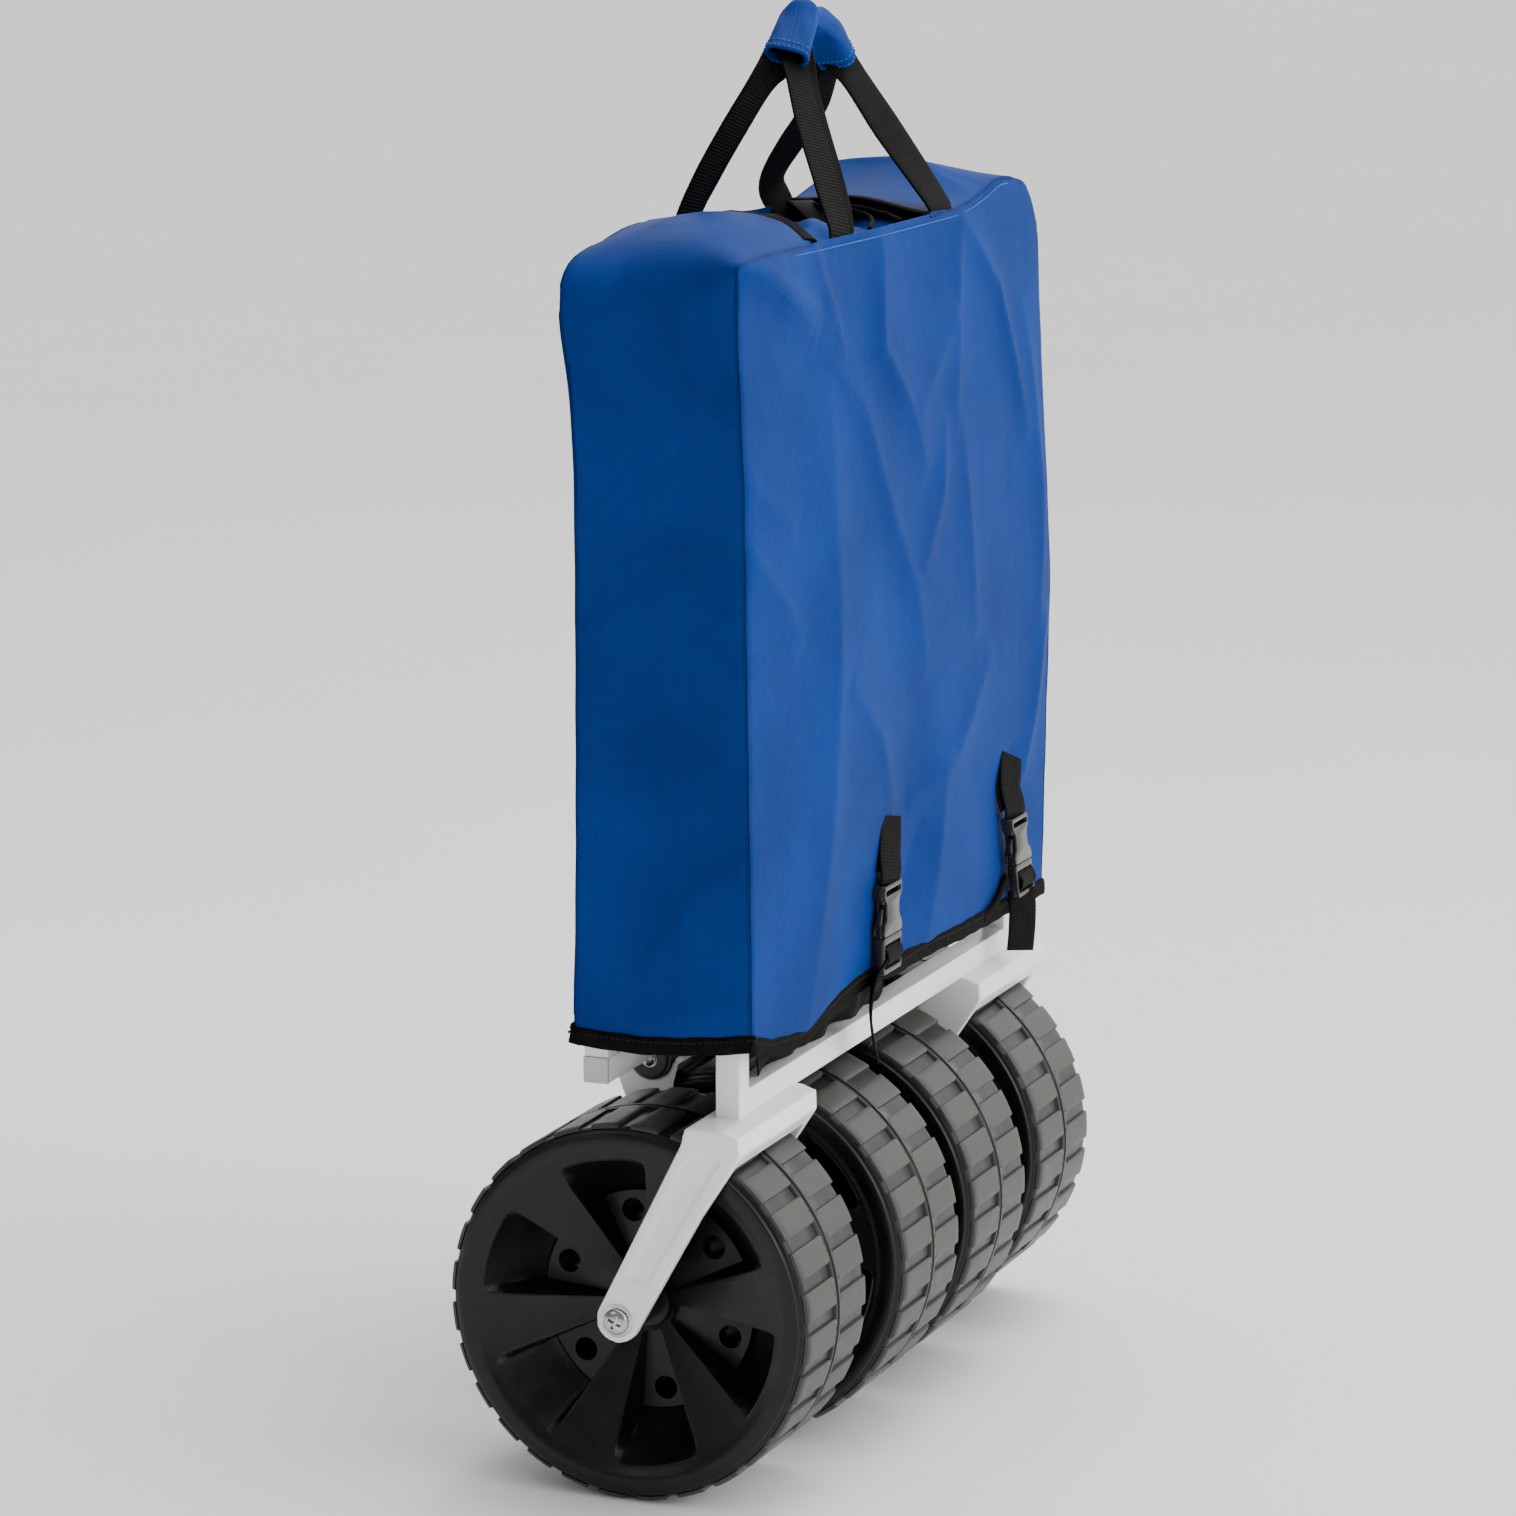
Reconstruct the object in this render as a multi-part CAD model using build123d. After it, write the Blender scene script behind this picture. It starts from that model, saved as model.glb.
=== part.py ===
from build123d import *
import os
from math import asin, cos, degrees, radians, sin, sqrt

# Folding beach cart, folded flat and standing on its four nested balloon wheels
# inside a storage cover with carry handles.  Millimetres, +Z up.
# +X is the rear of the cart (rear frame, fixed forks), -X the front (casters,
# pull handle), Y runs along the wheel axles.  The origin lies on the floor,
# midway between the rear and front wheel axles.

os.makedirs("parts", exist_ok=True)

# ---------------------------------------------------------------- dimensions
# wheels
WHEEL_R = 120.0            # tread radius
WHEEL_W = 104.0            # width over the rims
AXLE_Z = WHEEL_R           # all four wheels stand on the floor
REAR_AXLE_X = -3.5         # outer pair, in the fixed forks
FRONT_AXLE_X = 3.5         # inner pair, in the casters
REAR_WHEEL_Y = 214.0       # wheel centres, either side
FRONT_WHEEL_Y = 64.5
HUB_BORE_R = 9.0           # bore in the moulding, holds a bush
BUSH_BORE_R = 6.05
AXLE_R = 6.0
TREAD_CLEAR = 5.0          # fork crown above the tread

# square tube frames
TUBE = 16.0
WALL = 1.5
REAR_X = 56.5              # centre plane of the rear frame
FRONT_X = -30.5            # centre plane of the front frame
POST_Y = 240.0
RAIL_TOP_REAR = 262.0      # top face of the rear bottom rail
RAIL_TOP_FRONT = 276.0
FRONT_RAIL_HALF = 246.0    # the front rail runs past its posts
POST_TOP = 748.0
CAP_H = 3.0
BRIDGE_TOP = 246.0         # rear fork bridge, under the post

# scissor sides
PIN_Z = 292.0              # lower pins
BAR_L = 415.0              # pin to pin
BAR_W = 15.0
BAR_T = 10.0
LAYER_A = 221.0            # bar centres across the cart, outer and inner layer
LAYER_B = 209.0
PIN_R = 4.0
FRAME_GAP = REAR_X - FRONT_X
FOLD_ANGLE = asin(FRAME_GAP / 2 / BAR_L)
BAR_TOP_Z = PIN_Z + BAR_L * cos(FOLD_ANGLE)
MID_X = (REAR_X + FRONT_X) / 2
SLIDER_GAP = 0.4
SLIDER_WALL = 3.0

# casters
STEM_X = -49.0
STEM_R = 5.5
CASTER_BOSS_X = -46.0
CASTER_BOSS_Z = 245.0
CASTER_BOSS_R = 14.0
CROWN_TOP = 250.0

# storage cover, drawn by its outer corners
COVER_Y = (-261.0, 275.0)
COVER_BOTTOM_Z = 287.0
COVER_BOTTOM_X = (-46.0, 78.0)
COVER_TOP_X = (-49.0, 70.0)
COVER_TOP_NEAR_Z = 771.0
COVER_TOP_FAR_Z = 768.0
FABRIC_T = 1.6
OPENING_Y = (-106.0, 114.0)
HEM_H = 9.5
HEM_T = 1.2

# carry handles
WEB_W = 25.0               # buckle straps
CARRY_W = 30.0
WEB_T = 1.8

# buckles: middle and right, by their places across the cover
BUCKLE_Y = (-42.0, 208.0)
BUCKLE_X = 85.0
BUCKLE_W = 32.0


# ---------------------------------------------------------------- helpers
def box(x, y, z):
    """Box from (low, high) pairs."""
    size = (x[1] - x[0], y[1] - y[0], z[1] - z[0])
    centre = ((x[0] + x[1]) / 2, (y[0] + y[1]) / 2, (z[0] + z[1]) / 2)
    return Pos(*centre) * Box(*size)


def rod_y(radius, x, z, y):
    """Cylinder along Y between y[0] and y[1]."""
    plane = Plane((x, (y[0] + y[1]) / 2, z), z_dir=(0, 1, 0))
    return plane * Cylinder(radius, y[1] - y[0])


def rod_z(radius, x, y, z):
    """Cylinder along Z between z[0] and z[1]."""
    return Pos(x, y, (z[0] + z[1]) / 2) * Cylinder(radius, z[1] - z[0])


def plate_y(points, y):
    """Plate drawn in XZ, extruded between y[0] and y[1]."""
    plane = Plane((0, y[0], 0), x_dir=(1, 0, 0), z_dir=(0, -1, 0))
    outline = plane * make_face(Polyline(*points, close=True))
    return extrude(outline, amount=-(y[1] - y[0]))


def hull(bottom, top):
    """Ruled solid between two four-cornered loops."""
    rings = [Wire.make_polygon([Vector(*p) for p in ring], close=True) for ring in (bottom, top)]
    return Solid.make_loft(rings, ruled=True)


def on_side(solid, side):
    """The solid is drawn on the -Y side; side +1 gives its mirror image."""
    return mirror(solid, about=Plane.XZ) if side > 0 else solid


def save(name, *solids):
    """Write one sub-part, a single solid or a group of separate solids."""
    flat = [s for item in solids for s in item.solids()]
    shape = flat[0] if len(flat) == 1 else Compound(children=flat)
    export_step(shape, f"parts/{name}.step")


SIDES = (("left", -1), ("right", 1))


# ---------------------------------------------------------------- wheels
RIM_R = 100.0              # inner edge of the flat rim
SHOULDER_R = 117.0
HUB_R = 17.0
HUB_HALF = 18.0            # half thickness at the hub plate
FLOOR_HALF = 10.0          # half thickness under the pocket floors
POCKETS = 6
POCKET_ANGLE = 35.0
POCKET_HOLE_R = 7.5
POCKET_HOLE_PCR = 57.0
POCKET_PHASE = 58.5        # pockets are centred half a pocket before this angle
SEAM_HALF = 1.5


def wheel(x, y):
    """Hollow-looking moulded wheel: dished faces, six wedge pockets a side, a seam round the tread."""
    half = WHEEL_W / 2
    side = [(HUB_R, HUB_HALF), (RIM_R, half - 2.5), (RIM_R + 5, half), (SHOULDER_R - 4, half),
            (SHOULDER_R, half - 3), (WHEEL_R, half - 7), (WHEEL_R, SEAM_HALF), (WHEEL_R - 3, 0)]
    outline = [(HUB_BORE_R, HUB_HALF), *side]
    mirrored = [(r, -w) for r, w in reversed(outline[:-1])]
    profile = make_face(Polyline(*outline, *mirrored, close=True))
    body = revolve(Plane.XY * profile, axis=Axis.Y)
    pocket_outline = [(HUB_R + 3, FLOOR_HALF), (70, FLOOR_HALF), (92, half - 18), (RIM_R - 2, half - 4),
                      (RIM_R - 2, half + 5), (HUB_R + 3, half + 5)]
    for sign in (1, -1):
        face = make_face(Polyline(*[(r, sign * w) for r, w in pocket_outline], close=True))
        pocket = revolve(Plane.XY * face, axis=Axis.Y, revolution_arc=POCKET_ANGLE)
        for k in range(POCKETS):
            turn = POCKET_PHASE + k * 360 / POCKETS
            body -= Rot(0, -turn, 0) * pocket
    for k in range(POCKETS):
        angle = radians(POCKET_PHASE + k * 360 / POCKETS - POCKET_ANGLE / 2)
        body -= rod_y(POCKET_HOLE_R, POCKET_HOLE_PCR * cos(angle), POCKET_HOLE_PCR * sin(angle), (-15, 15))
    return Pos(x, y, AXLE_Z) * body


def bushes(x, y, gap):
    """Pair of flanged hub bushes; each runs out to the fork arm."""
    pair = []
    for sign in (-1, 1):
        reach = WHEEL_W / 2 + gap[0 if sign < 0 else 1]
        ends = sorted((sign * 1.0, sign * HUB_HALF))
        neck = sorted((sign * HUB_HALF, sign * reach))
        bush = rod_y(HUB_BORE_R, 0, 0, ends) + rod_y(HUB_BORE_R + 2, 0, 0, neck)
        bush -= rod_y(BUSH_BORE_R, 0, 0, (-reach - 1, reach + 1))
        pair.append(Pos(x, y, AXLE_Z) * bush)
    return pair


# ---------------------------------------------------------------- rear frame
def tube_z(x, y, z):
    """Upright square tube, open at the ends."""
    half, bore = TUBE / 2, TUBE / 2 - WALL
    outer = box((x - half, x + half), (y - half, y + half), z)
    return outer - box((x - bore, x + bore), (y - bore, y + bore), (z[0] - 1, z[1] + 1))


def tube_y(x, z, y):
    """Square tube along Y, open at the ends."""
    half, bore = TUBE / 2, TUBE / 2 - WALL
    outer = box((x - half, x + half), y, (z - half, z + half))
    return outer - box((x - bore, x + bore), (y[0] - 1, y[1] + 1), (z - bore, z + bore))


ARM_EYE_R = 14.0
REAR_ARM_OUT = (-280.0, -272.0)
REAR_ARM_IN = (-155.0, -150.0)


def tread_clearance(axle_x, y):
    """Round clearance that leaves the crown clear of the tread."""
    return rod_y(WHEEL_R + TREAD_CLEAR, axle_x, AXLE_Z, y)


def rear_fork():
    """Cast inverted U: two leaning arms and a bridge block under the post."""
    crest = [(41.0, BRIDGE_TOP), (66.0, BRIDGE_TOP), (76.5, 242.5), (77.5, 231.0)]
    arm = [(-15.3, 127.5), (38.7, 236.0), *crest, (51.0, 190.0), (9.3, 114.5)]
    bridge = [(38.7, 230.0), *crest, (66.0, 215.0)]
    solid = plate_y(arm, REAR_ARM_OUT) + plate_y(arm, REAR_ARM_IN)
    for y in (REAR_ARM_OUT, REAR_ARM_IN):
        solid += rod_y(ARM_EYE_R, REAR_AXLE_X, AXLE_Z, y)
    block_y = (REAR_ARM_OUT[1], REAR_ARM_IN[0])
    solid += plate_y(bridge, block_y) - tread_clearance(REAR_AXLE_X, block_y)
    panel = [(2.0, 148.0), (38.0, 222.0), (46.0, 232.0), (66.0, 230.0), (47.0, 198.0), (16.0, 143.0)]
    solid -= plate_y(panel, (REAR_ARM_OUT[0] - 1, REAR_ARM_OUT[0] + 1.2))
    return solid - rod_y(AXLE_R + 0.1, REAR_AXLE_X, AXLE_Z, (-300, -100))


HEAD_R = 9.0
HEAD_H = 2.6
WASHER_R = 10.5


def axle_set(x, y_out, y_in):
    """Bolt with a cross-recessed dome head and washer outside, washer and nut inside."""
    head_y = y_out - 1.0
    bolt = rod_y(AXLE_R, x, AXLE_Z, (y_out, y_in + 7))
    head = rod_y(HEAD_R, x, AXLE_Z, (head_y - HEAD_H, y_out - 1.0))
    head = fillet(head.edges().filter_by(GeomType.CIRCLE).sort_by(Axis.Y)[0], 1.8)
    bolt += head + rod_y(AXLE_R, x, AXLE_Z, (head_y, y_out))
    for angle in (45, 135):
        slot = Pos(x, head_y - HEAD_H, AXLE_Z) * Rot(0, angle, 0) * Box(8, 2.4, 1.4)
        bolt -= slot
    washer = rod_y(WASHER_R, x, AXLE_Z, (y_out - 1.0, y_out)) - rod_y(AXLE_R, x, AXLE_Z, (y_out - 2, y_out))
    nut_face = Plane((x, y_in, AXLE_Z), z_dir=(0, 1, 0)) * RegularPolygon(8.5, 6)
    nut = extrude(nut_face, amount=5) - rod_y(AXLE_R, x, AXLE_Z, (y_in - 1, y_in + 8))
    return bolt, washer, nut


# ---------------------------------------------------------------- front frame
CASTER_ARM_OUT = (-124.0, -120.0)
CASTER_ARM_IN = (-9.0, -5.0)


def caster_fork():
    """Pressed fork that trails the inner wheel behind its swivel stem."""
    arm = [(-69.5, 231.0), (-60.0, CROWN_TOP - 4), (-34.0, CROWN_TOP - 4), (-29.0, 241.0), (-33.0, 224.0),
           (15.0, 128.5), (-8.0, 112.0), (-64.0, 216.0)]
    crown = [(-69.5, 231.0), (-60.0, CROWN_TOP), (-34.0, CROWN_TOP), (-29.0, 241.0), (-29.0, 225.0),
             (-62.0, 212.0)]
    solid = plate_y(arm, CASTER_ARM_OUT) + plate_y(arm, CASTER_ARM_IN)
    for y in (CASTER_ARM_OUT, CASTER_ARM_IN):
        solid += rod_y(ARM_EYE_R, FRONT_AXLE_X, AXLE_Z, y)
    block_y = (CASTER_ARM_OUT[1], CASTER_ARM_IN[0])
    solid += plate_y(crown, block_y) - tread_clearance(FRONT_AXLE_X, block_y)
    solid += rod_z(STEM_R, STEM_X, -FRONT_WHEEL_Y, (CROWN_TOP - 3, RAIL_TOP_FRONT - 3))
    solid -= rod_y(AXLE_R + 0.1, FRONT_AXLE_X, AXLE_Z, (-130, 0))
    solid -= rod_y(CASTER_BOSS_R, CASTER_BOSS_X, CASTER_BOSS_Z, (-130, -112))
    return solid


def caster_boss():
    """Moulded knuckle at the crown's outer end, with its screw recess."""
    boss = rod_y(CASTER_BOSS_R, CASTER_BOSS_X, CASTER_BOSS_Z, (-128, -112))
    rim = boss.edges().filter_by(GeomType.CIRCLE).sort_by(Axis.Y)[0]
    boss = fillet(rim, 2.5)
    return boss


def caster_housing():
    """Block on the front rail that the swivel stem turns in."""
    block = box((STEM_X - 11, FRONT_X - TUBE / 2), (-FRONT_WHEEL_Y - 14, -FRONT_WHEEL_Y + 14),
                (CROWN_TOP + 1, RAIL_TOP_FRONT))
    block = fillet(block.edges().filter_by(Axis.Z).sort_by(Axis.X)[:2], 8)
    bore_z = (CROWN_TOP, RAIL_TOP_FRONT - 2.5)
    return block - rod_z(STEM_R + 0.05, STEM_X, -FRONT_WHEEL_Y, bore_z)


# ---------------------------------------------------------------- scissor sides
def bar(foot, head, layer):
    """Flat-oval bar between two pins, drawn in the XZ plane at one layer."""
    y = (-layer - BAR_T / 2, -layer + BAR_T / 2)
    (x0, z0), (x1, z1) = foot, head
    length = sqrt((x1 - x0) ** 2 + (z1 - z0) ** 2)
    nx, nz = -(z1 - z0) / length * BAR_W / 2, (x1 - x0) / length * BAR_W / 2
    web = plate_y([(x0 + nx, z0 + nz), (x1 + nx, z1 + nz), (x1 - nx, z1 - nz), (x0 - nx, z0 - nz)], y)
    body = web + rod_y(BAR_W / 2, x0, z0, y) + rod_y(BAR_W / 2, x1, z1, y)
    centre = ((x0 + x1) / 2, (z0 + z1) / 2)
    for x, z in (foot, head, centre):
        body -= rod_y(PIN_R + 0.05, x, z, (y[0] - 1, y[1] + 1))
    return body


REAR_FOOT = (REAR_X, PIN_Z)
REAR_HEAD = (REAR_X, BAR_TOP_Z)
FRONT_FOOT = (FRONT_X, PIN_Z)
FRONT_HEAD = (FRONT_X, BAR_TOP_Z)
MID_FOOT = (MID_X, PIN_Z)
MID_HEAD = (MID_X, BAR_TOP_Z)
BARS = {
    "rear_lift_bars": (REAR_FOOT, MID_HEAD, LAYER_A),
    "rear_cross_bars": (MID_FOOT, REAR_HEAD, LAYER_B),
    "front_lift_bars": (FRONT_FOOT, MID_HEAD, LAYER_B),
    "front_cross_bars": (MID_FOOT, FRONT_HEAD, LAYER_A),
}


def pin(place, y):
    """Plain round pin at an (x, z) place."""
    return rod_y(PIN_R, place[0], place[1], y)


def headed_pin(place, y, cap):
    """Rivet with a low head past its outer end."""
    head = rod_y(PIN_R + 3, place[0], place[1], (y[0] - cap, y[0]))
    return pin(place, y) + head


def centre_of(bar_name):
    """(x, z) of a bar's middle pin."""
    foot, head, _ = BARS[bar_name]
    return ((foot[0] + head[0]) / 2, (foot[1] + head[1]) / 2)


def slider(x, layer):
    """Sleeve that runs on an upright tube, with a stub for the bar's top eye."""
    half = TUBE / 2 + SLIDER_GAP
    wall = half + SLIDER_WALL
    z = (BAR_TOP_Z - 9, BAR_TOP_Z + 9)
    sleeve = box((x - wall, x + wall), (-POST_Y - wall, -POST_Y + wall), z)
    sleeve = fillet(sleeve.edges().filter_by(Axis.Z), 2)
    sleeve -= box((x - half, x + half), (-POST_Y - half, -POST_Y + half), (z[0] - 1, z[1] + 1))
    bar_face = -layer - BAR_T / 2
    return sleeve + rod_y(PIN_R + 1, x, BAR_TOP_Z, (-POST_Y + wall - 0.5, bar_face - 0.6))


# ---------------------------------------------------------------- pull handle
HANDLE_PIVOT_Z = 292.0
HANDLE_R = 7.0
HANDLE_WALL = 1.2
HANDLE_TOP = 655.0
INNER_R = 5.4
GRIP_Z = 736.0
GRIP_W = 112.0
GRIP_H = 60.0
GRIP_CORNER = 22.0
GRIP_BAR = 13.0


def handle_parts():
    """Outer tube on its pivot eye, inner tube and the collar between them."""
    x = FRONT_X
    eye = rod_y(9, x, HANDLE_PIVOT_Z, (-9, 9))
    outer = eye + rod_z(HANDLE_R, x, 0, (HANDLE_PIVOT_Z + 5, HANDLE_TOP))
    outer -= rod_z(HANDLE_R - HANDLE_WALL, x, 0, (HANDLE_PIVOT_Z + 16, HANDLE_TOP + 1))
    outer -= rod_y(PIN_R + 0.05, x, HANDLE_PIVOT_Z, (-20, 20))
    inner = rod_z(INNER_R, x, 0, (HANDLE_PIVOT_Z + 20, GRIP_Z - GRIP_H / 2))
    collar = rod_z(HANDLE_R + 0.9, x, 0, (HANDLE_TOP, HANDLE_TOP + 20))
    collar -= rod_z(INNER_R + 0.06, x, 0, (HANDLE_TOP - 1, HANDLE_TOP + 21))
    return outer, inner, collar


def handle_grip():
    """D-shaped hand loop at the top of the pull handle."""
    x = (FRONT_X - 7, FRONT_X + 7)
    outline = RectangleRounded(GRIP_W, GRIP_H, GRIP_CORNER)
    inside = RectangleRounded(GRIP_W - 2 * GRIP_BAR, GRIP_H - 2 * GRIP_BAR, GRIP_CORNER - GRIP_BAR)
    face = Plane((x[0], 0, GRIP_Z), x_dir=(0, 1, 0), z_dir=(1, 0, 0)) * (outline - inside)
    loop = extrude(face, amount=x[1] - x[0])
    return fillet(loop.edges().group_by(Axis.X)[0], 2)


def handle_bracket():
    """U bracket on the front rail with the pivot pin of the pull handle."""
    ears = []
    for y in ((-13.5, -9.5), (9.5, 13.5)):
        ear = box((FRONT_X - 8, FRONT_X + 8), y, (RAIL_TOP_FRONT, HANDLE_PIVOT_Z))
        ears.append(ear + rod_y(8, FRONT_X, HANDLE_PIVOT_Z, y))
    base = box((FRONT_X - 8, FRONT_X + 8), (-13.5, 13.5), (RAIL_TOP_FRONT, RAIL_TOP_FRONT + 3))
    return base + ears[0] + ears[1] - rod_y(PIN_R, FRONT_X, HANDLE_PIVOT_Z, (-20, 20))


# ---------------------------------------------------------------- storage cover
def top_z(y):
    """Height of the cover's top, which slopes a little along Y."""
    near, far = COVER_Y
    return COVER_TOP_NEAR_Z + (COVER_TOP_FAR_Z - COVER_TOP_NEAR_Z) * (y - near) / (far - near)


def cover_block(inset):
    """The cover's tapering block, pulled in all round by inset."""
    y = (COVER_Y[0] + inset, COVER_Y[1] - inset)
    low = (COVER_BOTTOM_X[0] + inset, COVER_BOTTOM_X[1] - inset)
    high = (COVER_TOP_X[0] + inset, COVER_TOP_X[1] - inset)
    foot = COVER_BOTTOM_Z - (1 if inset else 0)
    bottom = [(low[0], y[0], foot), (low[1], y[0], foot), (low[1], y[1], foot), (low[0], y[1], foot)]
    top = [(high[0], y[0], top_z(y[0]) - inset), (high[1], y[0], top_z(y[0]) - inset),
           (high[1], y[1], top_z(y[1]) - inset), (high[0], y[1], top_z(y[1]) - inset)]
    return hull(bottom, top)


def cover_panels():
    """Five sewn panels: two end gussets, front, back and a top in two flaps."""
    far = 1000
    outer, inner = cover_block(0), cover_block(FABRIC_T)
    shell = outer - inner
    flap_x = (COVER_TOP_X[0] + 2 * FABRIC_T, COVER_TOP_X[1] - FABRIC_T)
    shell -= box(flap_x, OPENING_Y, (COVER_TOP_FAR_Z - 20, far))
    left = shell & box((-far, far), (-far, COVER_Y[0] + FABRIC_T), (0, far))
    right = shell & box((-far, far), (COVER_Y[1] - FABRIC_T, far), (0, far))
    middle = shell & box((-far, far), (COVER_Y[0] + FABRIC_T, COVER_Y[1] - FABRIC_T), (0, far))
    side_cut = COVER_TOP_FAR_Z - 8
    tops = middle & box(flap_x, (-far, far), (side_cut, far))
    wide = middle & box((20, far), (-far, far), (0, far)) - tops
    back = middle & box((-far, -20), (-far, far), (0, far)) - tops
    return left, right, wide, back, tops


def hem_band():
    """Binding tape sewn round the bottom edge, just proud of the panels."""
    x, y = COVER_BOTTOM_X, COVER_Y
    z = (COVER_BOTTOM_Z - 2, COVER_BOTTOM_Z + HEM_H)
    outer = box((x[0] - HEM_T, x[1] + HEM_T), (y[0] - HEM_T, y[1] + HEM_T), z)
    outer -= box(x, y, (z[0] - 1, COVER_BOTTOM_Z + 1))
    return outer - cover_block(0)


# ---------------------------------------------------------------- carry handles
GRIP_X = 10.0
GRIP_ENDS = ((-46.0, 867.0), (8.0, 893.0), (68.0, 858.0))   # (y, z) along the wrapped grip
GRIP_HALF_X = 19.0
GRIP_HALF_T = 9.0
STRAPS = {
    "carry_strap_front": ((62.0, -86.0, 757.0), (20.5, -40.0, 856.0), (20.5, 62.0, 850.0),
                          (62.0, 86.0, 757.0)),
    "carry_strap_back": ((-43.0, -66.0, 757.0), (0.5, -40.0, 856.0), (0.5, 62.0, 850.0),
                         (-43.0, 92.0, 757.0)),
}


def ribbon(start, end, width_dir=(0, 1, 0)):
    """Straight run of webbing between two points; width_dir is across the band."""
    run = Vector(*end) - Vector(*start)
    plane = Plane(Vector(*start), x_dir=Vector(*width_dir), z_dir=run)
    return extrude(plane * Rectangle(CARRY_W, WEB_T), amount=run.length)


def strap_legs(points):
    """Two legs of webbing, sewn inside the cover's top edge, up to the grip."""
    near, grip_near, grip_far, far = points
    return ribbon(near, grip_near), ribbon(far, grip_far)


def carry_grip():
    """Fabric wrap round the two straps, bent over like a saddle."""
    (y0, z0), (y1, z1), (y2, z2) = GRIP_ENDS
    t = GRIP_HALF_T
    outline = [(y0 - 6, z0 - 6), (y0, z0 + 2 * t), (y1, z1 + t), (y2, z2 + 2 * t), (y2 + 6, z2 - 6),
               (y2 - 10, z2 - 2), (y1, z1 - t), (y0 + 10, z0 - 2)]
    x = (GRIP_X - GRIP_HALF_X, GRIP_X + GRIP_HALF_X)
    face = Plane((x[0], 0, 0), x_dir=(0, 1, 0), z_dir=(1, 0, 0)) * make_face(Polyline(*outline, close=True))
    return extrude(face, amount=x[1] - x[0])


# ---------------------------------------------------------------- buckles
BUCKLE_TOP = 350.0
FEMALE_H = 33.0
MALE_H = 24.0
BUCKLE_T = 9.0
PRONG_GAP = 0.3


def buckle_female(y):
    """Socket half: a flat sleeve open below, with windows for the two squeeze tabs."""
    z = (BUCKLE_TOP - FEMALE_H, BUCKLE_TOP)
    x = (BUCKLE_X - BUCKLE_T / 2, BUCKLE_X + BUCKLE_T / 2)
    body = box(x, (y - BUCKLE_W / 2, y + BUCKLE_W / 2), z)
    body = fillet(body.edges().filter_by(Axis.X), 3)
    body -= box((x[0] + 2, x[1] - 2), (y - 12, y + 12), (z[0] - 1, z[0] + 22))
    body -= box((x[0] - 1, x[1] + 1), (y - 13, y + 13), (z[1] - 6.5, z[1] - 3.5))
    return body


def buckle_male(y):
    """Plug half: base with a webbing slot, two sprung tabs and a centre guide."""
    z = BUCKLE_TOP - FEMALE_H - 0.5
    x = (BUCKLE_X - BUCKLE_T / 2, BUCKLE_X + BUCKLE_T / 2)
    body = box(x, (y - BUCKLE_W / 2, y + BUCKLE_W / 2), (z - MALE_H, z))
    body = fillet(body.edges().filter_by(Axis.X), 3)
    body -= box((x[0] - 1, x[1] + 1), (y - 13, y + 13), (z - MALE_H + 4, z - MALE_H + 7))
    inside = (x[0] + 2 + PRONG_GAP, x[1] - 2 - PRONG_GAP)
    for low, high in ((-11.5, -7), (-2, 2), (7, 11.5)):
        body += box(inside, (y + low, y + high), (z - 1, z + 19))
    return body


def buckle_webbing(y):
    """Strap sewn to the front panel above each buckle."""
    face = panel_x(COVER_BOTTOM_Z + 60)
    x = (face + 0.3, face + 0.3 + WEB_T)
    sewn = box(x, (y - WEB_W / 2, y + WEB_W / 2), (BUCKLE_TOP + 1, BUCKLE_TOP + 40))
    return sewn


def panel_x(z):
    """X of the front panel's outer face at a height."""
    share = (z - COVER_BOTTOM_Z) / (COVER_TOP_NEAR_Z - COVER_BOTTOM_Z)
    return COVER_BOTTOM_X[1] + (COVER_TOP_X[1] - COVER_BOTTOM_X[1]) * share


def buckle_tail(y, low, width):
    """Loose end of webbing under the plug half."""
    x = (BUCKLE_X - 1.0, BUCKLE_X - 1.0 + WEB_T)
    top = BUCKLE_TOP - FEMALE_H - 0.5 - MALE_H
    return box(x, (y - width / 2, y + width / 2), (low, top - 0.2))


# ---------------------------------------------------------------- build
def build_wheels():
    """Four wheels, each with its pair of bushes."""
    for end, x, y in (("rear", REAR_AXLE_X, REAR_WHEEL_Y), ("front", FRONT_AXLE_X, FRONT_WHEEL_Y)):
        gap = (5.7, 6.7) if end == "rear" else (3.2, 3.2)
        for name, side in SIDES:
            save(f"{end}_wheel_{name}", on_side(wheel(x, -y), side))
            save(f"{end}_wheel_bushes_{name}", *[on_side(b, side) for b in bushes(x, -y, gap)])


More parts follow.
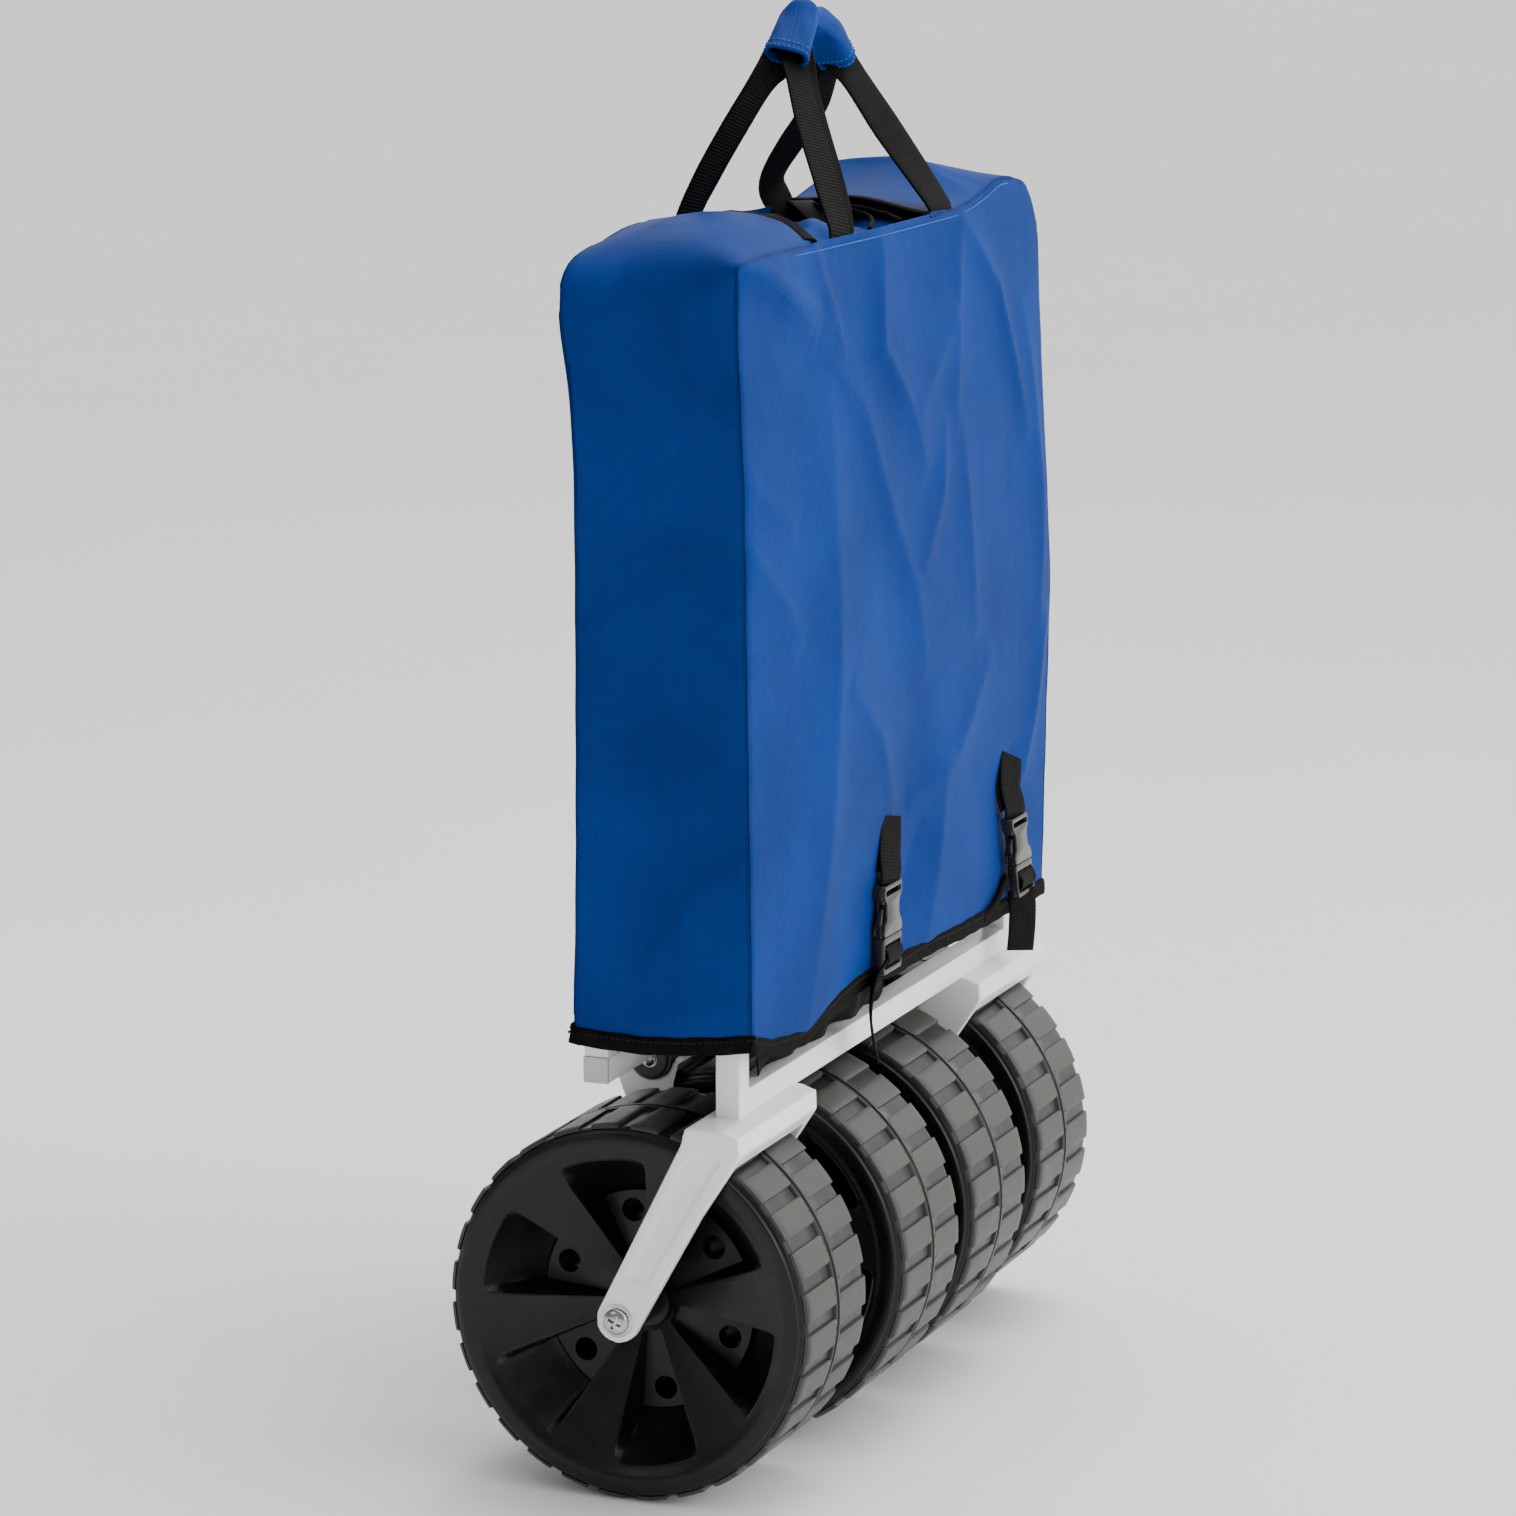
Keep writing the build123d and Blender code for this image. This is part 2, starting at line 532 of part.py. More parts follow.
def build_rear_frame():
    """Posts, rails, cast forks and axles of the rear frame."""
    for name, side in SIDES:
        save(f"rear_post_{name}", tube_z(REAR_X, side * POST_Y, (BRIDGE_TOP, POST_TOP)))
        save(f"rear_fork_{name}", on_side(rear_fork(), side))
    inside = POST_Y - TUBE / 2
    save("rear_bottom_rail", tube_y(REAR_X, RAIL_TOP_REAR - TUBE / 2, (-inside, inside)))
    save("rear_top_rail", tube_y(REAR_X, POST_TOP - TUBE / 2, (-inside, inside)))
    caps = [post_cap(REAR_X, side * POST_Y) for _, side in SIDES]
    save("rear_post_caps", *caps)
    bolts, washers = [], []
    for _, side in SIDES:
        bolt, washer, nut = axle_set(REAR_AXLE_X, REAR_ARM_OUT[0], REAR_ARM_IN[1])
        bolts.append(on_side(bolt, side))
        washers += [on_side(washer, side), on_side(nut, side)]
    save("rear_axles", *bolts)
    save("rear_axle_nuts", *washers)
    y = (-POST_Y + TUBE / 2, -LAYER_A + BAR_T / 2)
    save("rear_foot_pins", *[on_side(pin(REAR_FOOT, y), side) for _, side in SIDES])


def post_cap(x, y):
    """Low moulded cap over a post."""
    half = TUBE / 2
    cap = box((x - half, x + half), (y - half, y + half), (POST_TOP, POST_TOP + CAP_H))
    return fillet(cap.faces().sort_by(Axis.Z)[-1].edges(), 1.5)


def build_front_frame():
    """Posts, rails, caster housings and the handle's bracket."""
    foot = RAIL_TOP_FRONT
    for name, side in SIDES:
        save(f"front_post_{name}", tube_z(FRONT_X, side * POST_Y, (foot, POST_TOP)))
    save("front_bottom_rail", tube_y(FRONT_X, RAIL_TOP_FRONT - TUBE / 2, (-FRONT_RAIL_HALF, FRONT_RAIL_HALF)))
    outside = POST_Y + TUBE / 2
    save("front_top_rail", tube_y(FRONT_X + TUBE, POST_TOP - TUBE / 2, (-outside, outside)))
    caps = [post_cap(FRONT_X, side * POST_Y) for _, side in SIDES]
    for _, side in SIDES:
        y = sorted((side * FRONT_RAIL_HALF, side * (FRONT_RAIL_HALF + CAP_H)))
        z = (RAIL_TOP_FRONT - TUBE, RAIL_TOP_FRONT)
        caps.append(box((FRONT_X - TUBE / 2, FRONT_X + TUBE / 2), y, z))
    save("front_frame_caps", *caps)
    save("caster_housings", *[on_side(caster_housing(), side) for _, side in SIDES])
    save("handle_bracket", handle_bracket())
    y = (-POST_Y + TUBE / 2, -LAYER_B + BAR_T / 2)
    pins = [on_side(pin(FRONT_FOOT, y), side) for _, side in SIDES]
    save("front_frame_pins", *pins, rod_y(PIN_R, FRONT_X, HANDLE_PIVOT_Z, (-14.5, 14.5)))


def build_casters():
    """Two swivel forks with their knuckles and axles."""
    for name, side in SIDES:
        save(f"caster_fork_{name}", on_side(caster_fork(), side))
        save(f"caster_boss_{name}", on_side(caster_boss(), side))
        bolt = rod_y(AXLE_R, FRONT_AXLE_X, AXLE_Z, (CASTER_ARM_OUT[0] - 2, CASTER_ARM_IN[1]))
        bolt += rod_y(HEAD_R, FRONT_AXLE_X, AXLE_Z, (CASTER_ARM_OUT[0] - 2.6, CASTER_ARM_OUT[0]))
        save(f"caster_axle_{name}", on_side(bolt, side))


def build_scissors():
    """Side bars, their pins and the sleeves on the posts."""
    for name, (foot, head, layer) in BARS.items():
        save(name, *[on_side(bar(foot, head, layer), side) for _, side in SIDES])
    across = (-LAYER_A - BAR_T / 2, -LAYER_B + BAR_T / 2)
    for end, bar_name in (("rear", "rear_lift_bars"), ("front", "front_lift_bars")):
        centre = headed_pin(centre_of(bar_name), across, 1.5)
        layer = BARS[bar_name][2]
        tip = pin(MID_HEAD, (-layer - BAR_T / 2, -layer + BAR_T / 2))
        group = [centre, tip]
        save(f"{end}_scissor_pins", *[on_side(p, side) for p in group for _, side in SIDES])
    for end, x, layer in (("rear", REAR_X, LAYER_B), ("front", FRONT_X, LAYER_A)):
        save(f"{end}_sliders", *[on_side(slider(x, layer), side) for _, side in SIDES])


def build_handle():
    """Two-stage pull handle."""
    outer, inner, collar = handle_parts()
    save("handle_outer_tube", outer)
    save("handle_inner_tube", inner)
    save("handle_collar", collar)
    save("handle_grip", handle_grip())


def build_cover():
    """Sewn cover with its hem, carry handle and buckles."""
    left, right, front, back, tops = cover_panels()
    save("cover_left_end", left)
    save("cover_right_end", right)
    save("cover_front_panel", front)
    save("cover_back_panel", back)
    save("cover_top_flaps", tops)
    save("cover_hem_binding", hem_band())
    for name, points in STRAPS.items():
        save(name, *strap_legs(points))
    save("carry_grip", carry_grip())
    save("buckle_sockets", *[buckle_female(y) for y in BUCKLE_Y])
    save("buckle_webbing", *[buckle_webbing(y) for y in BUCKLE_Y])
    for name, y, low, width in (("middle", BUCKLE_Y[0], 242.0, WEB_W), ("right", BUCKLE_Y[1], 247.0, WEB_W)):
        save(f"buckle_plug_{name}", buckle_male(y))
        save(f"buckle_tail_{name}", buckle_tail(y, low, width))


def build_tub():
    """The fabric tub, pleated flat between the two frames."""
    save("wagon_tub", box((-3.5, 45.5), (-200, 200), (PIN_Z + 8, POST_TOP - TUBE - 6)))


build_wheels()
build_rear_frame()
build_front_frame()
build_casters()
build_scissors()
build_handle()
build_cover()
build_tub()
print(f"fold angle {degrees(FOLD_ANGLE):.2f} deg, bar top z {BAR_TOP_Z:.1f}")
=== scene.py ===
"""Looks of a beach cart that stands folded in its storage cover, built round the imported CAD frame.

Lengths are millimetres in the code and metres in Blender. +Z is up, +X is the cart's rear
frame side (the wide cover panel with the two buckles), -Y is its left end.
"""

import logging
import math
from dataclasses import dataclass
from enum import Enum
from typing import Callable, Iterable, Optional, Sequence

import bmesh
import bpy
import numpy as np
from mathutils import Matrix, Vector


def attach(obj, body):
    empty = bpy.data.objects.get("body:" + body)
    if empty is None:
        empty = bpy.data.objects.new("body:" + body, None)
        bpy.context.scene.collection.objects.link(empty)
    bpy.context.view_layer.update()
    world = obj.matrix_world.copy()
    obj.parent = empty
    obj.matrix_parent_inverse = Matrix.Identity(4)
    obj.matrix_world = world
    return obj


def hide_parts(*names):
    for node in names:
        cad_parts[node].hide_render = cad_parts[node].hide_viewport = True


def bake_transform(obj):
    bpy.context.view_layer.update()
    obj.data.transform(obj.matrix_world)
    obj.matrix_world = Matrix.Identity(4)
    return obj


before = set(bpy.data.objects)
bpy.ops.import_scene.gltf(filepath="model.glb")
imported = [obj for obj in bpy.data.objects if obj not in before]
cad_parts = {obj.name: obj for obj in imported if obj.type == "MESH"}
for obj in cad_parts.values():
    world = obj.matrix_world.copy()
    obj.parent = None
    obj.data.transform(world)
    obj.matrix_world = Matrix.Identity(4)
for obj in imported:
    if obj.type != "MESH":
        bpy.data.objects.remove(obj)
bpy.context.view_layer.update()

MM = 0.001
LOG = logging.getLogger("beach_cart")
Point = Sequence[float]


# ------------------------------------------------------------------ node and mesh tools
def linear(code: str) -> tuple[float, float, float, float]:
    """Turn an sRGB hex colour such as '#1458A8' into linear RGBA."""
    parts = [int(code[i:i + 2], 16) / 255 for i in (1, 3, 5)]
    return (*[c / 12.92 if c <= 0.04045 else ((c + 0.055) / 1.055) ** 2.4 for c in parts], 1.0)


def add_node(tree: bpy.types.NodeTree, kind: str, links: Optional[dict] = None, **settings) -> bpy.types.Node:
    """Add one node with its settings and links.

    Args:
        tree: the node tree that gets the node.
        kind: the node's type name.
        links: for each input (name or index), a value or the output socket that feeds it.
        settings: node properties such as operation or data_type.

    Returns:
        The new node.
    """
    node = tree.nodes.new(kind)
    for key, value in settings.items():
        setattr(node, key, value)
    for key, value in (links or {}).items():
        socket = node.inputs[key]
        if isinstance(value, bpy.types.NodeSocket):
            tree.links.new(value, socket)
        else:
            socket.default_value = value
    return node


def new_object(name: str, points: np.ndarray, faces: Iterable[Sequence[int]], finish: "Finish",
               uv: Optional[np.ndarray] = None, sharp: float = 180.0) -> bpy.types.Object:
    """Make a mesh object at the origin.

    Args:
        name: piece name.
        points: vertices in millimetres.
        faces: vertex indices of each face.
        finish: the finish that dresses it.
        uv: metres along and across the cloth, one pair per vertex.
        sharp: edges that turn more than this many degrees are shaded as sharp.

    Returns:
        The linked object, shaded smooth.
    """
    mesh = bpy.data.meshes.new(name)
    mesh.from_pydata((np.asarray(points, float) * MM).tolist(), [], [list(map(int, f)) for f in faces])
    if uv is not None:
        layer = mesh.uv_layers.new(name="cloth")
        index = np.zeros(len(mesh.loops), np.int32)
        mesh.loops.foreach_get("vertex_index", index)
        layer.data.foreach_set("uv", np.asarray(uv, np.float32)[index].ravel())
    obj = bpy.data.objects.new(name, mesh)
    bpy.context.scene.collection.objects.link(obj)
    mesh.materials.append(finish.material())
    shade(obj, sharp)
    return obj


def shade(obj: bpy.types.Object, sharp: float = 180.0) -> None:
    """Shade smooth, with edges past the given angle in degrees kept sharp.

    Args:
        obj: plain mesh piece.
        sharp: angle past which an edge stays sharp.
    """
    mesh = obj.data
    mesh.polygons.foreach_set("use_smooth", [True] * len(mesh.polygons))
    if sharp < 180:
        mesh.set_sharp_from_angle(angle=math.radians(sharp))
    mesh.update()


def clean(obj: bpy.types.Object, merge: float = 0.02, outward: bool = True) -> bpy.types.Object:
    """Merge doubled vertices closer than merge mm and turn the faces outwards.

    Args:
        obj: piece with loose ends.
        merge: distance in mm.
        outward: whether to turn the faces.

    Returns:
        The same piece.
    """
    bm = bmesh.new()
    bm.from_mesh(obj.data)
    bmesh.ops.remove_doubles(bm, verts=bm.verts, dist=merge * MM)
    if outward:
        bmesh.ops.recalc_face_normals(bm, faces=bm.faces)
    bm.to_mesh(obj.data)
    bm.free()
    return obj


def modify(obj: bpy.types.Object, kind: str, **settings) -> bpy.types.Modifier:
    """Add a modifier with its settings.

    Args:
        obj: piece to change.
        kind: the modifier's type.
        settings: its properties by name.

    Returns:
        The modifier.
    """
    modifier = obj.modifiers.new(kind.title(), kind)
    for key, value in settings.items():
        setattr(modifier, key, value)
    return modifier


def settle(obj: bpy.types.Object) -> bpy.types.Object:
    """Replace the mesh by what its modifiers make of it, and drop the modifiers.

    Args:
        obj: piece with live modifiers.

    Returns:
        The same piece, as plain mesh.
    """
    graph = bpy.context.evaluated_depsgraph_get()
    mesh = bpy.data.meshes.new_from_object(obj.evaluated_get(graph), preserve_all_data_layers=True,
                                           depsgraph=graph)
    name = obj.data.name
    obj.modifiers.clear()
    obj.data = mesh
    mesh.name = name
    return obj


def joined(name: str, parts: Sequence[bpy.types.Object]) -> bpy.types.Object:
    """Join plain meshes that share a finish into one piece.

    Args:
        name: the piece's name.
        parts: meshes used up by the join.

    Returns:
        The joined piece.
    """
    bm = bmesh.new()
    for part in parts:
        bm.from_mesh(part.data)
    mesh = bpy.data.meshes.new(name)
    bm.to_mesh(mesh)
    bm.free()
    for material in parts[0].data.materials:
        mesh.materials.append(material)
    obj = bpy.data.objects.new(name, mesh)
    bpy.context.scene.collection.objects.link(obj)
    for part in parts:
        bpy.data.objects.remove(part)
    return obj


def grid_faces(rows: int, columns: int, ring_rows: bool = False, ring_columns: bool = False) -> list:
    """Quads of a row-by-column grid, closed round in either direction on request.

    Args:
        rows: points one way.
        columns: points the other way.
        ring_rows: join the last row to the first.
        ring_columns: join the last column to the first.

    Returns:
        Vertex numbers of each quad.
    """
    last_row = rows if ring_rows else rows - 1
    last_column = columns if ring_columns else columns - 1
    return [(r * columns + c, r * columns + (c + 1) % columns,
             (r + 1) % rows * columns + (c + 1) % columns, (r + 1) % rows * columns + c)
            for r in range(last_row) for c in range(last_column)]


def smooth_path(points: Sequence[Point], step: float) -> np.ndarray:
    """Catmull-Rom curve through the points, sampled about every step mm.

    Args:
        points: places the curve goes through.
        step: spacing in mm.

    Returns:
        Points along the curve.
    """
    pts = np.asarray(points, float)
    pts = np.vstack([2 * pts[0] - pts[1], pts, 2 * pts[-1] - pts[-2]])
    out = []
    for i in range(1, len(pts) - 2):
        count = max(2, int(np.linalg.norm(pts[i + 1] - pts[i]) / step))
        for t in np.arange(count) / count:
            a, b, c, d = pts[i - 1:i + 3]
            out.append(0.5 * (2 * b + (c - a) * t + (2 * a - 5 * b + 4 * c - d) * t ** 2
                              + (3 * b - a - 3 * c + d) * t ** 3))
    out.append(pts[-2])
    return np.array(out)


def run_length(points: np.ndarray) -> np.ndarray:
    """Distance along a polyline at each of its points."""
    steps = np.linalg.norm(np.diff(points, axis=0), axis=1)
    return np.concatenate([[0], np.cumsum(steps)])


def unit(v: np.ndarray) -> np.ndarray:
    """Vectors scaled to length one."""
    return v / np.maximum(np.linalg.norm(v, axis=-1, keepdims=True), 1e-9)


def sweep(path: np.ndarray, across: np.ndarray, section: np.ndarray, closed: bool = False,
          share: Optional[np.ndarray] = None) -> tuple:
    """Carry a section along a path.

    Args:
        path: centre points.
        across: direction of the section's first axis at each point.
        section: (a, b) pairs, a along across and b along the normal.
        closed: whether the path is a ring.
        share: how much of the section's width is left at each point, where a band is folded narrower.

    Returns:
        Vertices, faces and cloth UVs in metres.
    """
    tangent = np.roll(path, -1, 0) - np.roll(path, 1, 0) if closed else np.gradient(path, axis=0)
    tangent = unit(tangent)
    across = unit(across - (across * tangent).sum(1, keepdims=True) * tangent)
    normal = np.cross(tangent, across)
    rows, n = len(path), len(section)
    width = np.ones(rows) if share is None else np.asarray(share, float)
    verts = (path[:, None] + section[None, :, :1] * width[:, None, None] * across[:, None]
             + section[None, :, 1:2] * normal[:, None]).reshape(-1, 3)
    faces = grid_faces(rows, n, ring_rows=closed, ring_columns=True)
    if not closed:
        faces += [tuple(range(n))[::-1], tuple(range((rows - 1) * n, rows * n))]
    along = run_length(path)
    around = run_length(np.vstack([section, section[:1]]))[:-1]
    uv = np.stack([np.tile(around, rows), np.repeat(along, n)], 1) * MM
    return verts, faces, uv


def band_section(width: float, thick: float, edge: int = 2, bulge: float = 0.0) -> np.ndarray:
    """Outline of a flat strap with rounded edges, seen end on.

    Args:
        width: full width in mm.
        thick: thickness in mm.
        edge: extra points on each rounded edge.
        bulge: crown of the flats in mm.

    Returns:
        Points (across, up) round the strap.
    """
    half, r = width / 2 - thick / 2, thick / 2
    turns = np.linspace(-math.pi / 2, math.pi / 2, edge + 3)
    right = [(half + r * math.cos(a), r * math.sin(a)) for a in turns]
    left = [(-x, -y) for x, y in right]
    flat = [(x, r + bulge * (1 - (x / half) ** 2)) for x in np.linspace(half * .6, -half * .6, 5)]
    return np.array(right + flat + left + [(-x, -y) for x, y in flat])


# ------------------------------------------------------------------ finishes
class Weave(Enum):
    """How a cloth's threads cross, which sets its bump."""

    PLAIN = "plain"
    RIBBED = "ribbed"
    FELTED = "felted"


@dataclass(frozen=True)
class Finish:
    """One surface finish; subclasses add their pattern."""

    name: str
    colour: str
    rough: float = 0.5
    metallic: float = 0.0

    def material(self) -> bpy.types.Material:
        """The finish's material, made on first use.

        Returns:
            The material.
        """
        found = bpy.data.materials.get(self.name)
        if found:
            return found
        made = bpy.data.materials.new(self.name)
        made.use_nodes = True
        tree = made.node_tree
        shader = tree.nodes["Principled BSDF"]
        shader.inputs["Base Color"].default_value = linear(self.colour)
        shader.inputs["Roughness"].default_value = self.rough
        shader.inputs["Metallic"].default_value = self.metallic
        self.pattern(tree, shader)
        return made

    def pattern(self, tree: bpy.types.NodeTree, shader: bpy.types.Node) -> None:
        """Add the finish's own pattern; the base has none."""

    def mottle(self, tree: bpy.types.NodeTree, place: bpy.types.NodeSocket, dark: str, light: str, size_mm: float,
               low: float = 0.35, high: float = 0.65) -> bpy.types.NodeSocket:
        """Colour that drifts between two shades over patches of size_mm; returns the colour socket.

        Args:
            tree: the material's tree.
            place: coordinates.
            dark: darker shade.
            light: lighter shade.
            size_mm: patch size.
            low: noise value of the darker shade.
            high: noise value of the lighter shade.

        Returns:
            The colour socket.
        """
        noise = add_node(tree, "ShaderNodeTexNoise", {"Vector": place, "Scale": 1000 / size_mm, "Detail": 4.0})
        ramp = add_node(tree, "ShaderNodeValToRGB", {"Fac": noise.outputs["Fac"]})
        ramp.color_ramp.elements[0].position = low
        ramp.color_ramp.elements[0].color = linear(dark)
        ramp.color_ramp.elements[1].position = high
        ramp.color_ramp.elements[1].color = linear(light)
        return ramp.outputs["Color"]

    def bump(self, tree: bpy.types.NodeTree, shader: bpy.types.Node, height: bpy.types.NodeSocket, depth_mm: float,
             under=None) -> bpy.types.NodeSocket:
        """Feed a height pattern of depth_mm to the shader's normal; returns the normal socket.

        Args:
            tree: the material's tree.
            shader: node to feed.
            height: pattern from 0 to 1.
            depth_mm: depth of the pattern.
            under: normal it lies on.

        Returns:
            The normal socket.
        """
        links = {"Height": height, "Distance": depth_mm * MM, "Strength": 1.0}
        if under is not None:
            links["Normal"] = under
        node = add_node(tree, "ShaderNodeBump", links)
        tree.links.new(node.outputs["Normal"], shader.inputs["Normal"])
        return node.outputs["Normal"]


@dataclass(frozen=True)
class Cloth(Finish):
    """Woven cloth read along its own threads from the cloth UV map."""

    light: str = "#808080"
    weave: Weave = Weave.PLAIN
    thread_mm: float = 1.0
    depth_mm: float = 0.2
    sheen: float = 0.0
    gloss: float = 0.3
    patch_mm: float = 60.0

    def pattern(self, tree: bpy.types.NodeTree, shader: bpy.types.Node) -> None:
        """Threads, slow colour drift, painted shade in the thread valleys and along the seams, and a fibre sheen.

        Args:
            tree: the material's tree.
            shader: node to feed.
        """
        shader.inputs["Sheen Weight"].default_value = self.sheen
        shader.inputs["Sheen Roughness"].default_value = 0.4
        shader.inputs["Specular IOR Level"].default_value = self.gloss
        uv = add_node(tree, "ShaderNodeUVMap", uv_map="cloth").outputs["UV"]
        place = add_node(tree, "ShaderNodeTexCoord").outputs["Object"]
        split = add_node(tree, "ShaderNodeSeparateXYZ", {"Vector": uv})
        turns = 2 * math.pi / (self.thread_mm * MM)
        waves = []
        for axis, share in (("X", 1.0), ("Y", 1.0)):
            scaled = add_node(tree, "ShaderNodeMath", {0: split.outputs[axis], 1: turns * share},
                              operation="MULTIPLY")
            waves.append(add_node(tree, "ShaderNodeMath", {0: scaled.outputs[0]}, operation="SINE").outputs[0])
        if self.weave is Weave.PLAIN:
            both = add_node(tree, "ShaderNodeMath", {0: waves[0], 1: waves[1]}, operation="ADD").outputs[0]
            height = add_node(tree, "ShaderNodeMath", {0: both, 1: 0.25, 2: 0.5},
                              operation="MULTIPLY_ADD").outputs[0]
        elif self.weave is Weave.RIBBED:
            fine = add_node(tree, "ShaderNodeMath", {0: waves[0], 1: 0.18, 2: 0.5}, operation="MULTIPLY_ADD")
            height = add_node(tree, "ShaderNodeMath", {0: waves[1], 1: 0.32, 2: fine.outputs[0]},
                              operation="MULTIPLY_ADD").outputs[0]
        else:
            fuzz = add_node(tree, "ShaderNodeTexNoise", {"Vector": place, "Scale": 1000 / self.thread_mm,
                                                         "Detail": 2.0, "Roughness": 0.7})
            height = fuzz.outputs["Fac"]
        drift = self.mottle(tree, place, self.colour, self.light, self.patch_mm)
        # painted shade: the colour is darkened towards 55% in the low valleys of the weave, where shade falls
        painted_valley_shade = add_node(tree, "ShaderNodeMapRange", {"Value": height, "To Min": 0.55, "To Max": 1.0})
        # painted shade: the colour is darkened by up to 45% along the seam rows, where the sunk seams lie in shade
        seam = add_node(tree, "ShaderNodeAttribute", attribute_name="seam")
        painted_seam_shade = add_node(tree, "ShaderNodeMath", {0: seam.outputs["Fac"], 1: -0.45, 2: 1.0},
                        operation="MULTIPLY_ADD")
        painted_shade = add_node(tree, "ShaderNodeMath", {0: painted_valley_shade.outputs[0], 1: painted_seam_shade.outputs[0]}, operation="MULTIPLY")
        mix = add_node(tree, "ShaderNodeMix", {"Factor": 1.0, 6: drift}, data_type="RGBA", blend_type="MULTIPLY")
        tree.links.new(painted_shade.outputs[0], mix.inputs[7])
        tree.links.new(mix.outputs[2], shader.inputs["Base Color"])
        crumple = add_node(tree, "ShaderNodeTexNoise", {"Vector": place, "Scale": 1000 / 22, "Detail": 3.0})
        soft = self.bump(tree, shader, crumple.outputs["Fac"], 0.6)
        self.bump(tree, shader, height, self.depth_mm, soft)


@dataclass(frozen=True)
class Coating(Finish):
    """Baked powder or moulded skin with a fine texture and patchy rubbed roughness."""

    light: str = "#808080"
    grain_mm: float = 1.5
    depth_mm: float = 0.03
    coat: float = 0.0
    patch_mm: float = 40.0
    rough_swing: float = 0.08
    specular: float = 0.5

    def pattern(self, tree: bpy.types.NodeTree, shader: bpy.types.Node) -> None:
        """Grain in the bump, patches in the colour, handling marks in the roughness.

        Args:
            tree: the material's tree.
            shader: node to feed.
        """
        shader.inputs["Coat Weight"].default_value = self.coat
        shader.inputs["Coat Roughness"].default_value = 0.15
        shader.inputs["Specular IOR Level"].default_value = self.specular
        place = add_node(tree, "ShaderNodeTexCoord").outputs["Object"]
        drift = self.mottle(tree, place, self.colour, self.light, self.patch_mm)
        tree.links.new(drift, shader.inputs["Base Color"])
        rub = add_node(tree, "ShaderNodeTexNoise", {"Vector": place, "Scale": 1000 / 14, "Detail": 5.0,
                                                    "Roughness": 0.65})
        span = add_node(tree, "ShaderNodeMapRange", {"Value": rub.outputs["Fac"], "From Min": 0.3,
                                                     "From Max": 0.7,
                                                     "To Min": self.rough - self.rough_swing,
                                                     "To Max": self.rough + self.rough_swing})
        tree.links.new(span.outputs[0], shader.inputs["Roughness"])
        grain = add_node(tree, "ShaderNodeTexNoise", {"Vector": place, "Scale": 1000 / self.grain_mm,
                                                      "Detail": 2.0})
        self.bump(tree, shader, grain.outputs["Fac"], self.depth_mm)


# Coated polyester oxford: flat blue yarn, a light grid of threads drawn at twice their real
# half-millimetre so that it shows, and a faint film gloss.
CANVAS = Cloth("coated_polyester_oxford", "#003482", 0.56, light="#003D93", thread_mm=1.5, depth_mm=0.10,
               gloss=0.06, patch_mm=90)
# The same cloth made a little lighter for its unlit side and the folded tub: painted light on shaded cloth.
LINING = Cloth("polyester_oxford_lining", "#0A3E82", 0.62, light="#0D4896", thread_mm=1.5, depth_mm=0.10,
               patch_mm=60)
# Polypropylene webbing: cross ribs near two millimetres, brown-black.
WEBBING = Cloth("polypropylene_webbing", "#070605", 0.68, light="#0F0D0A", weave=Weave.RIBBED, thread_mm=2.2,
                depth_mm=0.55, gloss=0.10, patch_mm=12)
# Brushed nylon binding tape, folded over raw edges.
BINDING = Cloth("nylon_binding_tape", "#0A0807", 0.82, light="#16120E", weave=Weave.FELTED, thread_mm=1.3,
                depth_mm=0.5, gloss=0.08, patch_mm=8)
# Black polyester sheet of the cart's own foot flap, crumpled under the cover's hem.
DARK_CLOTH = Cloth("black_polyester_sheet", "#080706", 0.70, light="#100E0C", thread_mm=1.5, depth_mm=0.12,
                   gloss=0.12,
                   patch_mm=30)
# Polyester sewing thread.
THREAD = Coating("polyester_thread", "#0E4E9C", 0.6, light="#2068BE", grain_mm=0.5, depth_mm=0.05, patch_mm=5)
DARK_THREAD = Coating("black_polyester_thread", "#040403", 0.92, light="#080706", grain_mm=0.5, depth_mm=0.05,
                      patch_mm=5)
# Light grey powder coat baked on steel: slight orange peel, soft gloss.
POWDER = Coating("powder_coated_steel", "#F2F3F0", 0.34, light="#F9FAF8", grain_mm=2.5, depth_mm=0.05, coat=0.25,
                 patch_mm=90)
# Zinc-plated steel fasteners.
ZINC = Coating("zinc_plated_steel", "#A9ACA9", 0.24, 1.0, light="#CFCFC8", grain_mm=1.2, depth_mm=0.03,
               patch_mm=6)
# Blow-moulded HDPE wheels: fine satin texture, scuffed lighter in patches.
WHEEL = Coating("blow_moulded_hdpe", "#0A0A09", 0.33, light="#111110", grain_mm=1.1, depth_mm=0.04, patch_mm=30,
                specular=0.30)
# Tread: the wheel plastic made lighter, partly real scuffing and partly painted light where the side light falls on
# the tread.
TREAD = Coating("scuffed_hdpe_tread", "#272724", 0.46, light="#383731", grain_mm=0.9, depth_mm=0.08, patch_mm=14)
# Acetal side-release buckles: dense dark grey, satin gloss.
ACETAL = Coating("moulded_acetal", "#211F1D", 0.25, light="#2A2724", grain_mm=1.0, depth_mm=0.015, patch_mm=20)
# Glass-filled nylon knuckles, sleeves and grips.
NYLON = Coating("moulded_nylon", "#161514", 0.36, light="#22201E", grain_mm=1.0, depth_mm=0.03, patch_mm=15)
# Polyethylene tube plugs.
PLUG = Coating("polyethylene_plug", "#B9BCB8", 0.42, light="#C9CBC6", grain_mm=1.4, depth_mm=0.03, patch_mm=15)
# Painted concrete floor of the studio.
FLOOR = Coating("pale_studio_floor", "#FBFBFA", 0.80, light="#FFFFFF", grain_mm=4, depth_mm=0.01, patch_mm=900)


